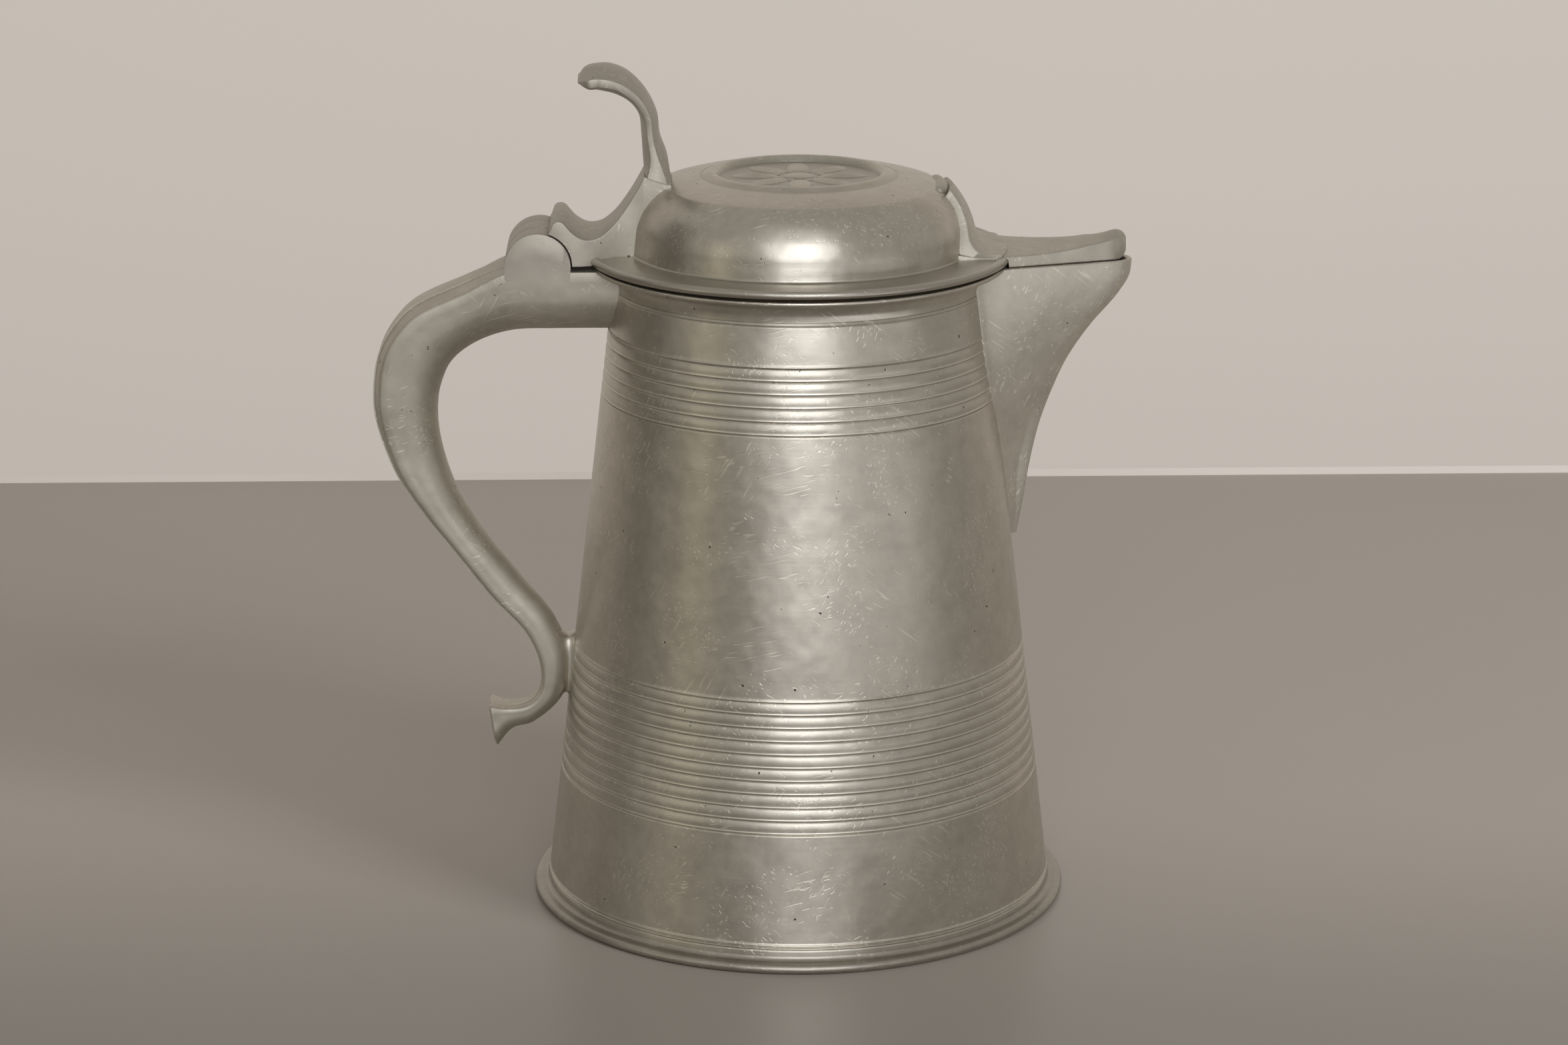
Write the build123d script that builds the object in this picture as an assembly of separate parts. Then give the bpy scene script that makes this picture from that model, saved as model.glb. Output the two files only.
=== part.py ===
from build123d import *
import os
from math import cos, radians, sin, sqrt

# Pewter serving jug: a tapered drum with a beak spout, a cast handle and a domed lid that
# swings on the handle. Sizes are millimetres. Z is up, the spout points along +X and the
# handle along -X. Shapes are drawn about the drum's axis and set on the origin at the end.

# Drum: a cone-shaped wall on a foot moulding, with a bottom plate let in above the table
RIM_TOP = 184.0            # table to the top face of the rim
RIM_DEPTH = 7.0            # height of the rim moulding
DRUM_TOP_RADIUS = 51.2     # outside of the wall, carried on up to the rim's top face
DRUM_BASE_RADIUS = 72.6    # outside of the wall, carried on down to the table
DRUM_WALL = 2.4
RIM_PROJECTION = 7.0       # from the wall line to the rim's outer edge
RIM_BEAD = 1.4             # height of the bead round the rim
RIM_HOLLOW = (0.36, 0.52)  # middle of the cove under the bead, as shares of its width and height
FOOT_PROJECTION = 3.7      # from the wall line to the foot's outer edge
FOOT_THICKNESS = 2.7
FOOT_HEIGHT = 4.2          # table to the wall's lower edge
FOOT_COVE = 1.5
BOTTOM_THICKNESS = 2.5

# Turned bands on the wall: shallow rounded reeds cut side by side
REED_PITCH = 3.65
REED_DEPTH = 0.3
LOWER_BAND_HEIGHT = 37.4   # table to the lowest groove
LOWER_REEDS = 10
UPPER_BAND_DROP = 37.7     # rim's top face to the lowest groove of the upper band
UPPER_REEDS = 5

# Spout: stations from the lip down to the point, each with its drop below the spout's top,
# how far the keel stands off the wall, and the half width at the wall and at the nose
SPOUT_GAP = 0.4            # from the rim's top face down to the spout's top edge
SPOUT_WALL = 1.6
SPOUT_NOSE = 3.4           # length of the rounded nose
SPOUT_NOSE_SHARE = 0.5     # the nose is no longer than this share of the spout's reach
SPOUT_BURIED = 7.2         # how far each level cut is drawn on inside the wall
INNER_NOSE = 0.7           # length of the hollow's nose, against the outside's
INNER_ROOT = 1.2           # how far the hollow is narrower at the wall and at the nose, each
INNER_NARROW = 0.8         # in thicknesses of the spout's wall
SPOUT_STATIONS = [
    (0.0, 41.9, 18.0, 5.4),
    (5.0, 40.6, 18.0, 5.3),
    (10.0, 37.0, 18.0, 5.2),
    (19.0, 28.4, 17.9, 5.1),
    (28.0, 21.3, 17.0, 4.7),
    (38.0, 15.6, 14.6, 4.0),
    (47.0, 11.4, 10.6, 3.0),
    (58.0, 7.6, 7.2, 2.2),
    (70.0, 4.3, 4.4, 1.5),
    (79.6, 1.5, 1.5, 0.7),
]
SPOUT_HOLLOW_STATIONS = 8  # the stations that the hollow reaches down through
WINDOW_MARGIN = 3.0        # wall left above the opening into the spout

# Lid: a domed shell with a moulded flange, an inner bezel and a ringed medallion
SEAT_GAP = 0.3             # rim's top face to the lid's seat
LID_WALL = 1.8
FLANGE_OVERHANG = 1.0      # from the rim's edge to the flange's edge
FLANGE_THICKNESS = 2.4
FLANGE_EDGE = 0.4          # how far the flange's rounded edge bulges
FLANGE_BEAD = 2.6          # width of the low bead round the flange's top
FLANGE_BEAD_RISE = 0.3
FLANGE_DISH = 0.35         # drop from the bead to the dished top inside it
FLANGE_RELIEF = 0.6        # step of the flange's underside outside the seat
FLANGE_SEAT = 4.3          # from the flange's edge in to the seat
DOME_RADIUS = 46.9
DOME_HEIGHT = 23.2         # seat to the edge of the medallion's recess
DOME_FILLET = 0.7          # round where the dome stands on the flange
SHOULDER_RADIUS = 38.8     # where the shoulder turns into the crown
SHOULDER_DROP = 2.3        # from the recess's edge down to the shoulder's top
SHOULDER_HEIGHT = 7.2      # seat to the shoulder's foot
SHOULDER_DRAFT = 0.4       # how far the dome leans in below the shoulder
SHOULDER_POINT = (2.6, 0.56)  # shoulder's middle: in from the dome's side, and its share of the height
INNER_SHOULDER_POINT = (2.2, 0.58)
INNER_SHOULDER_INSET = 0.8
CROWN_SAG = 0.36           # middle of the crown below the recess's edge, against the shoulder's drop
BEZEL_CLEARANCE = 0.5
BEZEL_WALL = 1.6
BEZEL_DEPTH = 4.6
MEDALLION_RADIUS = 27.6
MEDALLION_RING = 5.6       # width of the ring moulding
MEDALLION_RECESS = 1.1
RING_RISE = 2.3            # recess floor to the ring's crest
RING_CREST_START = 1.2     # from the ring's inner edge out to the crest's round top
RING_CREST_END = 3.4
RING_CREST_ROUND = 0.3     # how much the crest's top bulges
DISC_THICKNESS = 0.6
PETALS = 8
PETAL_RISE = 0.6
PETAL_PLACE = 0.56         # middle of a petal, petal's half length and half width, and the
PETAL_LENGTH = 0.3         # boss's radius, all as shares of the disc's radius
PETAL_WIDTH = 0.15
BOSS_SHARE = 0.2

# Hinge: two ears on the handle, one knuckle on the lid's strap and a pin through all three
HINGE_WIDTH = 28.0
KNUCKLE_RADIUS = 9.2
PIN_STANDOFF = 14.2        # from the rim's edge to the pin's axis
PIN_RISE = 0.7             # from the rim's top face to the pin's axis
PIN_RADIUS = 2.0
PIN_CLEARANCE = 0.06
EAR_WIDTH = 8.5
SIDE_CLEARANCE = 0.3
EAR_CLEARANCE = 0.4        # between an ear and the strap's hollow that turns round it
STRAP_CLEARANCE = 0.4      # strap's underside to the handle's top
STOP_ANGLE = 71.5          # slope of the strap's stop face, radial to the pin
LIP_HEIGHT = 3.2           # stop face above an ear
# Strap's top line, each point outwards and upwards from the pin's axis: the lip's crest and
# back, then a dip and a hollow slope up to the strap's upper end
LIP_CREST = (6.0, 13.4)
LIP_BACK = (7.9, 12.3)
STRAP_LINE = [(10.2, 9.9), (13.6, 8.3), (16.9, 8.7), (20.8, 11.6), (24.6, 16.3), (28.1, 21.8)]
STRAP_RUN = 29.5           # from the pin in to the strap's upper end, where its line is drawn for
STRAP_TOP_WIDTH = 20.0
STRAP_TAPER_START = 1.0    # from the flange's edge outwards to where the strap narrows
STRAP_TAPER_END = 10.5     # from the flange's edge inwards to where it is narrow

# Thumbpiece: stations of inner point, outer point, half width and edge thickness,
# measured from the strap's upper end
THUMB_STATIONS = [
    (0.0, 0.0, 7.4, -2.4, 10.0, 6.4),
    (-0.3, 3.6, 6.4, 4.4, 9.6, 2.8),
    (-0.7, 10.2, 4.4, 10.4, 9.3, 1.7),
    (-1.3, 15.8, 3.5, 16.8, 9.8, 1.8),
    (-3.2, 18.9, 0.6, 22.6, 10.6, 2.0),
    (-7.4, 21.6, -5.6, 28.4, 11.8, 2.3),
    (-12.5, 23.0, -12.2, 29.6, 12.2, 2.5),
    (-15.8, 23.7, -16.8, 27.9, 10.8, 1.8),
    (-17.4, 25.1, -17.7, 26.3, 8.0, 0.6),
]
THUMB_INSET = 3.9          # from the dome's side line in to the strap's upper end
THUMB_RISE = 24.7          # seat to the strap's upper end

# Handle: stations of back point, belly point, half width and crown of the back, each point
# measured down from the rim's top face and out from the wall at that height
HANDLE_STATIONS = [
    (0.8, 14.0, 19.4, 14.0, 14.0, 0.05),
    (0.6, 28.6, 19.8, 26.4, 13.5, 0.7),
    (5.6, 41.8, 22.6, 35.2, 12.2, 1.9),
    (14.4, 57.4, 29.0, 42.9, 11.3, 2.1),
    (25.5, 63.2, 35.2, 45.0, 10.7, 2.2),
    (38.5, 63.5, 40.2, 45.4, 10.1, 2.2),
    (56.0, 57.6, 50.5, 43.8, 8.9, 1.9),
    (73.2, 45.7, 67.0, 36.8, 7.9, 1.6),
    (83.1, 37.1, 77.0, 29.7, 7.2, 1.4),
    (97.6, 24.4, 91.5, 17.2, 6.5, 1.2),
    (108.7, 13.5, 104.5, 5.9, 6.0, 1.0),
    (117.2, 9.2, 115.5, 0.95, 5.6, 0.9),
    (125.2, 8.7, 128.2, 2.1, 5.2, 0.8),
    (128.9, 12.0, 135.2, 9.1, 5.0, 0.7),
    (129.4, 18.6, 137.8, 15.7, 5.2, 0.7),
    (128.5, 22.0, 142.1, 18.6, 6.0, 0.6),
]
FLANK_LEAN = 0.96          # half width where the belly's curve starts, against the back's
FLANK_SHARE = 0.45         # depth of the flat flank, against the whole depth
STRUT_WIDTH = 8.0
STRUT_TOP_DROP = 108.4
STRUT_BOTTOM_DROP = 127.4
STRUT_BITE = 6.0           # how far each end of the strut is drawn past the faces it fills

# Spout cover: a wedge plate on the lid with an upturned tip, and the strap up the dome
COVER_GAP = 0.6            # spout's top edge to the cover's underside
COVER_THICKNESS = 4.2
COVER_WAIST = 3.2          # least thickness, half way along
COVER_TIP_RISE = 7.2       # cover's underside to the crest of the tip
COVER_SHORT = 1.5          # how far the tip stops short of the spout's tip
COVER_TIP_LENGTH = 14.0    # from the tip back to where the top starts to rise
COVER_NOSE = 3.0
COVER_SOLE = 2.2           # how far the tip's lower edge is cut back
COVER_SOLE_RISE = 1.8
COVER_EDGE = 0.4           # how far the tip bulges past the top of that cut
COVER_CREST_BACK = 4.0     # from the tip back to its crest
COVER_BULGE = 0.62         # height where the tip reaches furthest, against its crest's height
COVER_RISE_STEP = 1.1      # top above the waist where the tip starts to rise
COVER_HOLLOW = 0.25        # how much the rise sags below a straight slope
COVER_LAP = 4.0            # from the flange's edge in to where the plate is at full thickness
STRAP_THICKNESS = 2.6
COVER_STRAP_TOP_WIDTH = 20.0
COVER_STRAP_TOP_DROP = 3.4  # from the recess's edge down to the strap's upper end
STRAP_BEAD_RADIUS = 1.9
STRAP_FLARE = 4.6          # how much further the strap's foot reaches along the cover
STRAP_FLARE_HEIGHT = 5.5
STRAP_FLARE_POINT = (0.24, 0.36)  # middle of the flare's hollow, as shares of its reach and height
STRAP_SIDE_DRAFT = 0.7     # how far the strap's face leans in at the top of the flare
STRAP_END_REACH = 1.2      # from the shoulder's top out to the end of the strap's face
STRAP_SKIN_EASE = 0.3      # how much thinner the strap is at its upper end
STRAP_WAIST = (3.0, 0.6)   # strap's middle: in from its face, and its share of the shoulder's height

PIN_X = -(DRUM_TOP_RADIUS + RIM_PROJECTION + PIN_STANDOFF)
PIN_Z = RIM_TOP + PIN_RISE
SEAT_Z = RIM_TOP + SEAT_GAP
RIM_RADIUS = DRUM_TOP_RADIUS + RIM_PROJECTION
FLANGE_RADIUS = RIM_RADIUS + FLANGE_OVERHANG
FLANGE_TOP = SEAT_Z + FLANGE_THICKNESS
DOME_EDGE = SEAT_Z + DOME_HEIGHT
RECESS_FLOOR = DOME_EDGE - MEDALLION_RECESS
SPOUT_TOP = RIM_TOP - SPOUT_GAP
RIM_BASE = RIM_TOP - RIM_DEPTH
LID_KNUCKLE = HINGE_WIDTH - 2 * EAR_WIDTH - 2 * SIDE_CLEARANCE
FAR = 400.0                # longer than the jug, for cutting tools


def wall_radius(z):
    """Outside radius of the drum's wall line at height z."""
    return DRUM_BASE_RADIUS + (DRUM_TOP_RADIUS - DRUM_BASE_RADIUS) * z / RIM_TOP


def at(x, z):
    """Point in the jug's middle plane."""
    return Vector(x, 0, z)


def arc(a, b, c):
    """Arc in the middle plane through three (x, z) points."""
    return ThreePointArc(at(*a), at(*b), at(*c))


def line(*points):
    """Straight edges in the middle plane through (x, z) points."""
    return Polyline(*[at(*p) for p in points])


def turned(outline):
    """Solid turned round the jug's axis from a closed outline."""
    return revolve(make_face(outline), Axis.Z)


def cut_across(outline, width):
    """Solid of the given width in Y from a closed outline in the middle plane."""
    return extrude(make_face(outline), width / 2, both=True, dir=(0, 1, 0))


def cross_bar(x, z, radius, width, y=0.0):
    """Round bar along Y."""
    return Pos(x, y, z) * Rot(90, 0, 0) * Cylinder(radius, width)


def reeds(z, count):
    """Outline of a band of rounded reeds up the wall, from the groove at height z."""
    edges = Curve()
    for i in range(count):
        low, high = z + i * REED_PITCH, z + (i + 1) * REED_PITCH
        middle = (low + high) / 2
        edges += arc((wall_radius(low) - REED_DEPTH, low), (wall_radius(middle), middle),
                     (wall_radius(high) - REED_DEPTH, high))
    return edges


def drum_solid(top=RIM_TOP):
    """The drum's whole volume inside the wall line, for seating what is soldered to it."""
    return turned(line((0, 0), (wall_radius(0), 0), (wall_radius(top), top), (0, top), (0, 0)))


def drum_wall():
    """Tapered wall with two turned bands and the opening into the spout."""
    lower_end = LOWER_BAND_HEIGHT + LOWER_REEDS * REED_PITCH
    upper = RIM_TOP - UPPER_BAND_DROP
    upper_end = upper + UPPER_REEDS * REED_PITCH
    outline = line((wall_radius(FOOT_HEIGHT) - DRUM_WALL, FOOT_HEIGHT),
                   (wall_radius(FOOT_HEIGHT), FOOT_HEIGHT),
                   (wall_radius(LOWER_BAND_HEIGHT), LOWER_BAND_HEIGHT),
                   (wall_radius(LOWER_BAND_HEIGHT) - REED_DEPTH, LOWER_BAND_HEIGHT))
    outline += reeds(LOWER_BAND_HEIGHT, LOWER_REEDS)
    outline += line((wall_radius(lower_end) - REED_DEPTH, lower_end), (wall_radius(lower_end), lower_end),
                    (wall_radius(upper), upper), (wall_radius(upper) - REED_DEPTH, upper))
    outline += reeds(upper, UPPER_REEDS)
    outline += line((wall_radius(upper_end) - REED_DEPTH, upper_end), (wall_radius(upper_end), upper_end),
                    (wall_radius(RIM_BASE), RIM_BASE), (wall_radius(RIM_BASE) - DRUM_WALL, RIM_BASE),
                    (wall_radius(FOOT_HEIGHT) - DRUM_WALL, FOOT_HEIGHT))
    window_top = RIM_BASE - WINDOW_MARGIN
    window = spout_hollow() - Pos(0, 0, window_top + FAR / 2) * Box(FAR, FAR, FAR)
    return turned(outline) - window


def foot_ring():
    """Foot moulding: a flat ring with a rounded edge and a small cove up to the wall."""
    inner = wall_radius(FOOT_HEIGHT) - DRUM_WALL
    edge = wall_radius(0) + FOOT_PROJECTION
    half = FOOT_THICKNESS / 2
    foot_of_wall = wall_radius(FOOT_HEIGHT)
    outline = line((inner, 0), (edge - half, 0))
    outline += arc((edge - half, 0), (edge, half), (edge - half, FOOT_THICKNESS))
    outline += line((edge - half, FOOT_THICKNESS), (foot_of_wall + FOOT_COVE, FOOT_THICKNESS))
    bulge = FOOT_COVE * (1 - sqrt(0.5))
    outline += arc((foot_of_wall + FOOT_COVE, FOOT_THICKNESS),
                   (foot_of_wall + bulge, FOOT_THICKNESS + bulge),
                   (foot_of_wall, FOOT_HEIGHT))
    outline += line((foot_of_wall, FOOT_HEIGHT), (inner, FOOT_HEIGHT), (inner, 0))
    return turned(outline)


def bottom_plate():
    """Round plate soldered inside the wall, clear of the table."""
    top = FOOT_HEIGHT + BOTTOM_THICKNESS
    return turned(line((0, FOOT_HEIGHT), (wall_radius(FOOT_HEIGHT) - DRUM_WALL, FOOT_HEIGHT),
                       (wall_radius(top) - DRUM_WALL, top), (0, top), (0, FOOT_HEIGHT)))


def rim_outline():
    """Outside line of the rim moulding: a shallow cove under a bead."""
    low = wall_radius(RIM_BASE)
    bead_low = RIM_TOP - RIM_BEAD
    bead_in = RIM_RADIUS - RIM_BEAD / 2
    hollow_out, hollow_up = RIM_HOLLOW
    hollow = (low + hollow_out * (bead_in - low), RIM_BASE + hollow_up * (bead_low - RIM_BASE))
    outline = arc((low, RIM_BASE), hollow, (bead_in, bead_low))
    outline += arc((bead_in, bead_low), (RIM_RADIUS, RIM_TOP - RIM_BEAD / 2), (bead_in, RIM_TOP))
    return outline


def rim_ring():
    """Rim moulding that closes the top of the wall."""
    inner = wall_radius(RIM_BASE) - DRUM_WALL
    outline = rim_outline()
    outline += line((RIM_RADIUS - RIM_BEAD / 2, RIM_TOP), (inner, RIM_TOP), (inner, RIM_BASE),
                    (wall_radius(RIM_BASE), RIM_BASE))
    return turned(outline)


def rim_solid():
    """The rim's volume, filled in to the axis."""
    outline = rim_outline()
    outline += line((RIM_RADIUS - RIM_BEAD / 2, RIM_TOP), (0, RIM_TOP), (0, RIM_BASE),
                    (wall_radius(RIM_BASE), RIM_BASE))
    return turned(outline)


def spout_section(z, keel, root, nose, nose_length):
    """Level cut through the spout: straight flanks from inside the wall to a round nose."""
    at_wall = sqrt(wall_radius(z) ** 2 - root ** 2)
    nose_start = keel - nose_length
    spread = (root - nose) / (nose_start - at_wall) * SPOUT_BURIED
    inside = at_wall - SPOUT_BURIED
    outline = Polyline((inside, root + spread, z), (nose_start, nose, z))
    outline += ThreePointArc((nose_start, nose, z), (keel, 0, z), (nose_start, -nose, z))
    outline += Polyline((nose_start, -nose, z), (inside, -root - spread, z), (inside, root + spread, z))
    return make_face(outline)


def spout_body():
    """Outer form of the spout, from its point up to its open top."""
    sections = []
    for drop, stand, root, nose in reversed(SPOUT_STATIONS):
        z = SPOUT_TOP - drop
        length = min(SPOUT_NOSE, SPOUT_NOSE_SHARE * stand)
        sections.append(spout_section(z, wall_radius(z) + stand, root, nose, length))
    return loft(sections)


def spout_hollow():
    """Channel inside the spout, which also cuts the opening through the drum's wall."""
    sections = []
    for drop, stand, root, nose in reversed(SPOUT_STATIONS[:SPOUT_HOLLOW_STATIONS]):
        z = SPOUT_TOP - drop
        length = min(SPOUT_NOSE, SPOUT_NOSE_SHARE * stand) * INNER_NOSE
        keel = wall_radius(z) + stand - SPOUT_WALL
        at_root = root - INNER_ROOT * SPOUT_WALL
        at_nose = nose - INNER_NARROW * SPOUT_WALL
        sections.append(spout_section(z, keel, at_root, at_nose, length))
    return loft(sections) + extrude(sections[-1], 2 * SPOUT_WALL, dir=(0, 0, 1))


def spout():
    """Beak spout: a hollow wedge soldered over the opening in the wall."""
    return spout_body() - spout_hollow() - drum_solid() - rim_solid()


def lid_outline():
    """Outside line of the lid, from the flange's underside up and in to the medallion's recess."""
    relief = SEAT_Z + FLANGE_RELIEF
    edge_in = FLANGE_RADIUS - FLANGE_EDGE
    bead_in = FLANGE_RADIUS - FLANGE_BEAD
    bead_top = FLANGE_RADIUS - (FLANGE_EDGE + FLANGE_BEAD) / 2
    mid_edge = (relief + FLANGE_TOP) / 2
    flange_low = FLANGE_TOP - FLANGE_DISH
    foot = SEAT_Z + SHOULDER_HEIGHT
    shoulder_top = DOME_EDGE - SHOULDER_DROP
    outline = arc((edge_in, relief), (FLANGE_RADIUS, mid_edge), (edge_in, FLANGE_TOP))
    outline += arc((edge_in, FLANGE_TOP), (bead_top, FLANGE_TOP + FLANGE_BEAD_RISE), (bead_in, flange_low))
    outline += arc((bead_in, flange_low), ((bead_in + DOME_RADIUS) / 2, FLANGE_TOP),
                   (DOME_RADIUS + DOME_FILLET, FLANGE_TOP))
    bulge = DOME_FILLET * (1 - sqrt(0.5))
    outline += arc((DOME_RADIUS + DOME_FILLET, FLANGE_TOP), (DOME_RADIUS + bulge, FLANGE_TOP + bulge),
                   (DOME_RADIUS, FLANGE_TOP + DOME_FILLET))
    side = DOME_RADIUS - SHOULDER_DRAFT
    outline += line((DOME_RADIUS, FLANGE_TOP + DOME_FILLET), (side, foot))
    shoulder_in, shoulder_up = SHOULDER_POINT
    shoulder_mid = (DOME_RADIUS - shoulder_in, foot + shoulder_up * (shoulder_top - foot))
    outline += arc((side, foot), shoulder_mid, (SHOULDER_RADIUS, shoulder_top))
    crown_mid = ((SHOULDER_RADIUS + MEDALLION_RADIUS) / 2, DOME_EDGE - CROWN_SAG * SHOULDER_DROP)
    outline += arc((SHOULDER_RADIUS, shoulder_top), crown_mid, (MEDALLION_RADIUS, DOME_EDGE))
    return outline


def lid_solid():
    """The lid's volume, filled in to the axis and the seat, for seating what is soldered to it."""
    relief = SEAT_Z + FLANGE_RELIEF
    seat_edge = FLANGE_RADIUS - FLANGE_SEAT
    outline = lid_outline()
    outline += line((MEDALLION_RADIUS, DOME_EDGE), (0, DOME_EDGE), (0, SEAT_Z),
                    (seat_edge, SEAT_Z), (seat_edge + FLANGE_RELIEF, relief),
                    (FLANGE_RADIUS - FLANGE_EDGE, relief))
    return turned(outline)


def lid_shell():
    """Domed shell with its flange; the top has a round recess for the medallion."""
    inner = DOME_RADIUS - LID_WALL
    foot = SEAT_Z + SHOULDER_HEIGHT
    shoulder_top = DOME_EDGE - SHOULDER_DROP - LID_WALL
    ceiling = RECESS_FLOOR - LID_WALL
    hollow = line((0, 0), (inner, 0), (inner, foot))
    shoulder_in, shoulder_up = INNER_SHOULDER_POINT
    shoulder_mid = (inner - shoulder_in, foot + shoulder_up * (shoulder_top - foot))
    shoulder_end = (SHOULDER_RADIUS - INNER_SHOULDER_INSET, shoulder_top)
    hollow += arc((inner, foot), shoulder_mid, shoulder_end)
    hollow += line(shoulder_end, (MEDALLION_RADIUS, ceiling), (0, ceiling), (0, 0))
    recess = Pos(0, 0, RECESS_FLOOR + FAR / 2) * Cylinder(MEDALLION_RADIUS, FAR)
    return lid_solid() - turned(hollow) - recess


def lid_bezel():
    """Ring under the flange that drops inside the rim and keeps the lid central."""
    outer = wall_radius(RIM_BASE) - DRUM_WALL - BEZEL_CLEARANCE
    return Pos(0, 0, SEAT_Z - BEZEL_DEPTH / 2) * (
        Cylinder(outer, BEZEL_DEPTH) - Cylinder(outer - BEZEL_WALL, BEZEL_DEPTH))


def medallion_ring():
    """Raised moulding round the medallion: a long cove up to a round crest, and steep inside."""
    inner = MEDALLION_RADIUS - MEDALLION_RING
    start, end = inner + RING_CREST_START, inner + RING_CREST_END
    crest = RECESS_FLOOR + RING_RISE
    side = crest - RING_CREST_ROUND
    outline = line((inner, RECESS_FLOOR), (MEDALLION_RADIUS, RECESS_FLOOR), (MEDALLION_RADIUS, DOME_EDGE))
    cove = ((MEDALLION_RADIUS + end) / 2, DOME_EDGE + (side - DOME_EDGE) / 3)
    outline += arc((MEDALLION_RADIUS, DOME_EDGE), cove, (end, side))
    outline += arc((end, side), ((start + end) / 2, crest), (start, side))
    outline += line((start, side), (inner, RECESS_FLOOR + DISC_THICKNESS), (inner, RECESS_FLOOR))
    return turned(outline)


def medallion_disc():
    """Cast disc in the ring, with a plain rosette of petals in low relief."""
    radius = MEDALLION_RADIUS - MEDALLION_RING
    disc = Pos(0, 0, RECESS_FLOOR + DISC_THICKNESS / 2) * Cylinder(radius, DISC_THICKNESS)
    top = RECESS_FLOOR + DISC_THICKNESS
    petal = extrude(Ellipse(PETAL_LENGTH * radius, PETAL_WIDTH * radius), PETAL_RISE)
    for i in range(PETALS):
        disc += Rot(0, 0, 360 * i / PETALS) * Pos(PETAL_PLACE * radius, 0, top) * petal
    return disc + Pos(0, 0, top + PETAL_RISE / 2) * Cylinder(BOSS_SHARE * radius, PETAL_RISE)


def polar(radius, angle):
    """Point in the middle plane at a radius and angle from the hinge pin."""
    return (PIN_X + radius * cos(radians(angle)), PIN_Z + radius * sin(radians(angle)))


def from_pin(point):
    """Point in the middle plane from its distances out and up from the hinge pin."""
    return (PIN_X + point[0], PIN_Z + point[1])


def on_strap(point):
    """Point of the strap's line, moved out or in as the dome is nearer to the pin or farther."""
    start = LIP_BACK[0]
    stretch = (strap_top()[0] - PIN_X - start) / (STRAP_RUN - start)
    return from_pin((start + (point[0] - start) * stretch, point[1]))


def strap_top():
    """Inner corner of the strap's upper end, where the thumbpiece stands."""
    return (-DOME_RADIUS + THUMB_INSET + 0.1, SEAT_Z + THUMB_RISE)


def hinge_strap():
    """Strap from the dome out to the hinge: a lip that stops on the handle, and one knuckle."""
    lip = polar(KNUCKLE_RADIUS + EAR_CLEARANCE + LIP_HEIGHT, STOP_ANGLE)
    crest, lip_back = from_pin(LIP_CREST), from_pin(LIP_BACK)
    end = strap_top()
    slope = [at(*p) for p in [lip_back] + [on_strap(p) for p in STRAP_LINE] + [end]]
    underside = RIM_TOP - HANDLE_STATIONS[1][0] + STRAP_CLEARANCE
    dome_end = (end[0] + THUMB_STATIONS[0][2], end[1] + THUMB_STATIONS[0][3])
    outline = line((PIN_X, PIN_Z), lip)
    outline += arc(lip, crest, lip_back)
    outline += Spline(*slope)
    outline += line(end, dome_end, (dome_end[0], underside), (PIN_X, underside), (PIN_X, PIN_Z))
    strap = cut_across(outline, HINGE_WIDTH)
    wide = HINGE_WIDTH / 2
    narrow = STRAP_TOP_WIDTH / 2
    taper_out = -FLANGE_RADIUS - STRAP_TAPER_START
    taper_in = -FLANGE_RADIUS + STRAP_TAPER_END
    plan = Polyline((-FAR, wide), (taper_out, wide), (taper_in, narrow), (0, narrow), (0, -narrow),
                    (taper_in, -narrow), (taper_out, -wide), (-FAR, -wide), (-FAR, wide))
    strap &= extrude(make_face(plan), FAR)
    strap -= lid_solid()
    strap -= Pos(0, 0, FLANGE_TOP - FAR / 2) * Cylinder(FLANGE_RADIUS, FAR)
    side = (HINGE_WIDTH + LID_KNUCKLE) / 4
    for y in (-side, side):
        hollow_width = (HINGE_WIDTH - LID_KNUCKLE) / 2
        strap -= cross_bar(PIN_X, PIN_Z, KNUCKLE_RADIUS + EAR_CLEARANCE, hollow_width, y)
    strap += cross_bar(PIN_X, PIN_Z, KNUCKLE_RADIUS, LID_KNUCKLE)
    return strap - cross_bar(PIN_X, PIN_Z, PIN_RADIUS + PIN_CLEARANCE, LID_KNUCKLE)


def lens_section(inner, outer, half_width, edge):
    """Cut across the thumbpiece: bulged on both faces, with thin square edges."""
    across = at(*outer) - at(*inner)
    thickness = across.length
    edge = min(edge, 0.9 * thickness)
    plane = Plane(origin=at(*inner), x_dir=(0, 1, 0), z_dir=(across.Z, 0, -across.X))
    low, high = (thickness - edge) / 2, (thickness + edge) / 2
    outline = ThreePointArc((-half_width, low), (0, 0), (half_width, low))
    outline += Line((half_width, low), (half_width, high))
    outline += ThreePointArc((half_width, high), (0, thickness), (-half_width, high))
    outline += Line((-half_width, high), (-half_width, low))
    return plane * make_face(outline)


def thumbpiece():
    """Cast lever that stands on the strap and curls back over the handle."""
    x, z = strap_top()
    sections = []
    for inner_x, inner_z, outer_x, outer_z, half_width, edge in THUMB_STATIONS:
        inner = (x + inner_x, z + inner_z)
        outer = (x + outer_x, z + outer_z)
        sections.append(lens_section(inner, outer, half_width, edge))
    return loft(sections)


def hinge_pin():
    """Plain pin, filed flush with the ears."""
    return cross_bar(PIN_X, PIN_Z, PIN_RADIUS, HINGE_WIDTH)


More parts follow.
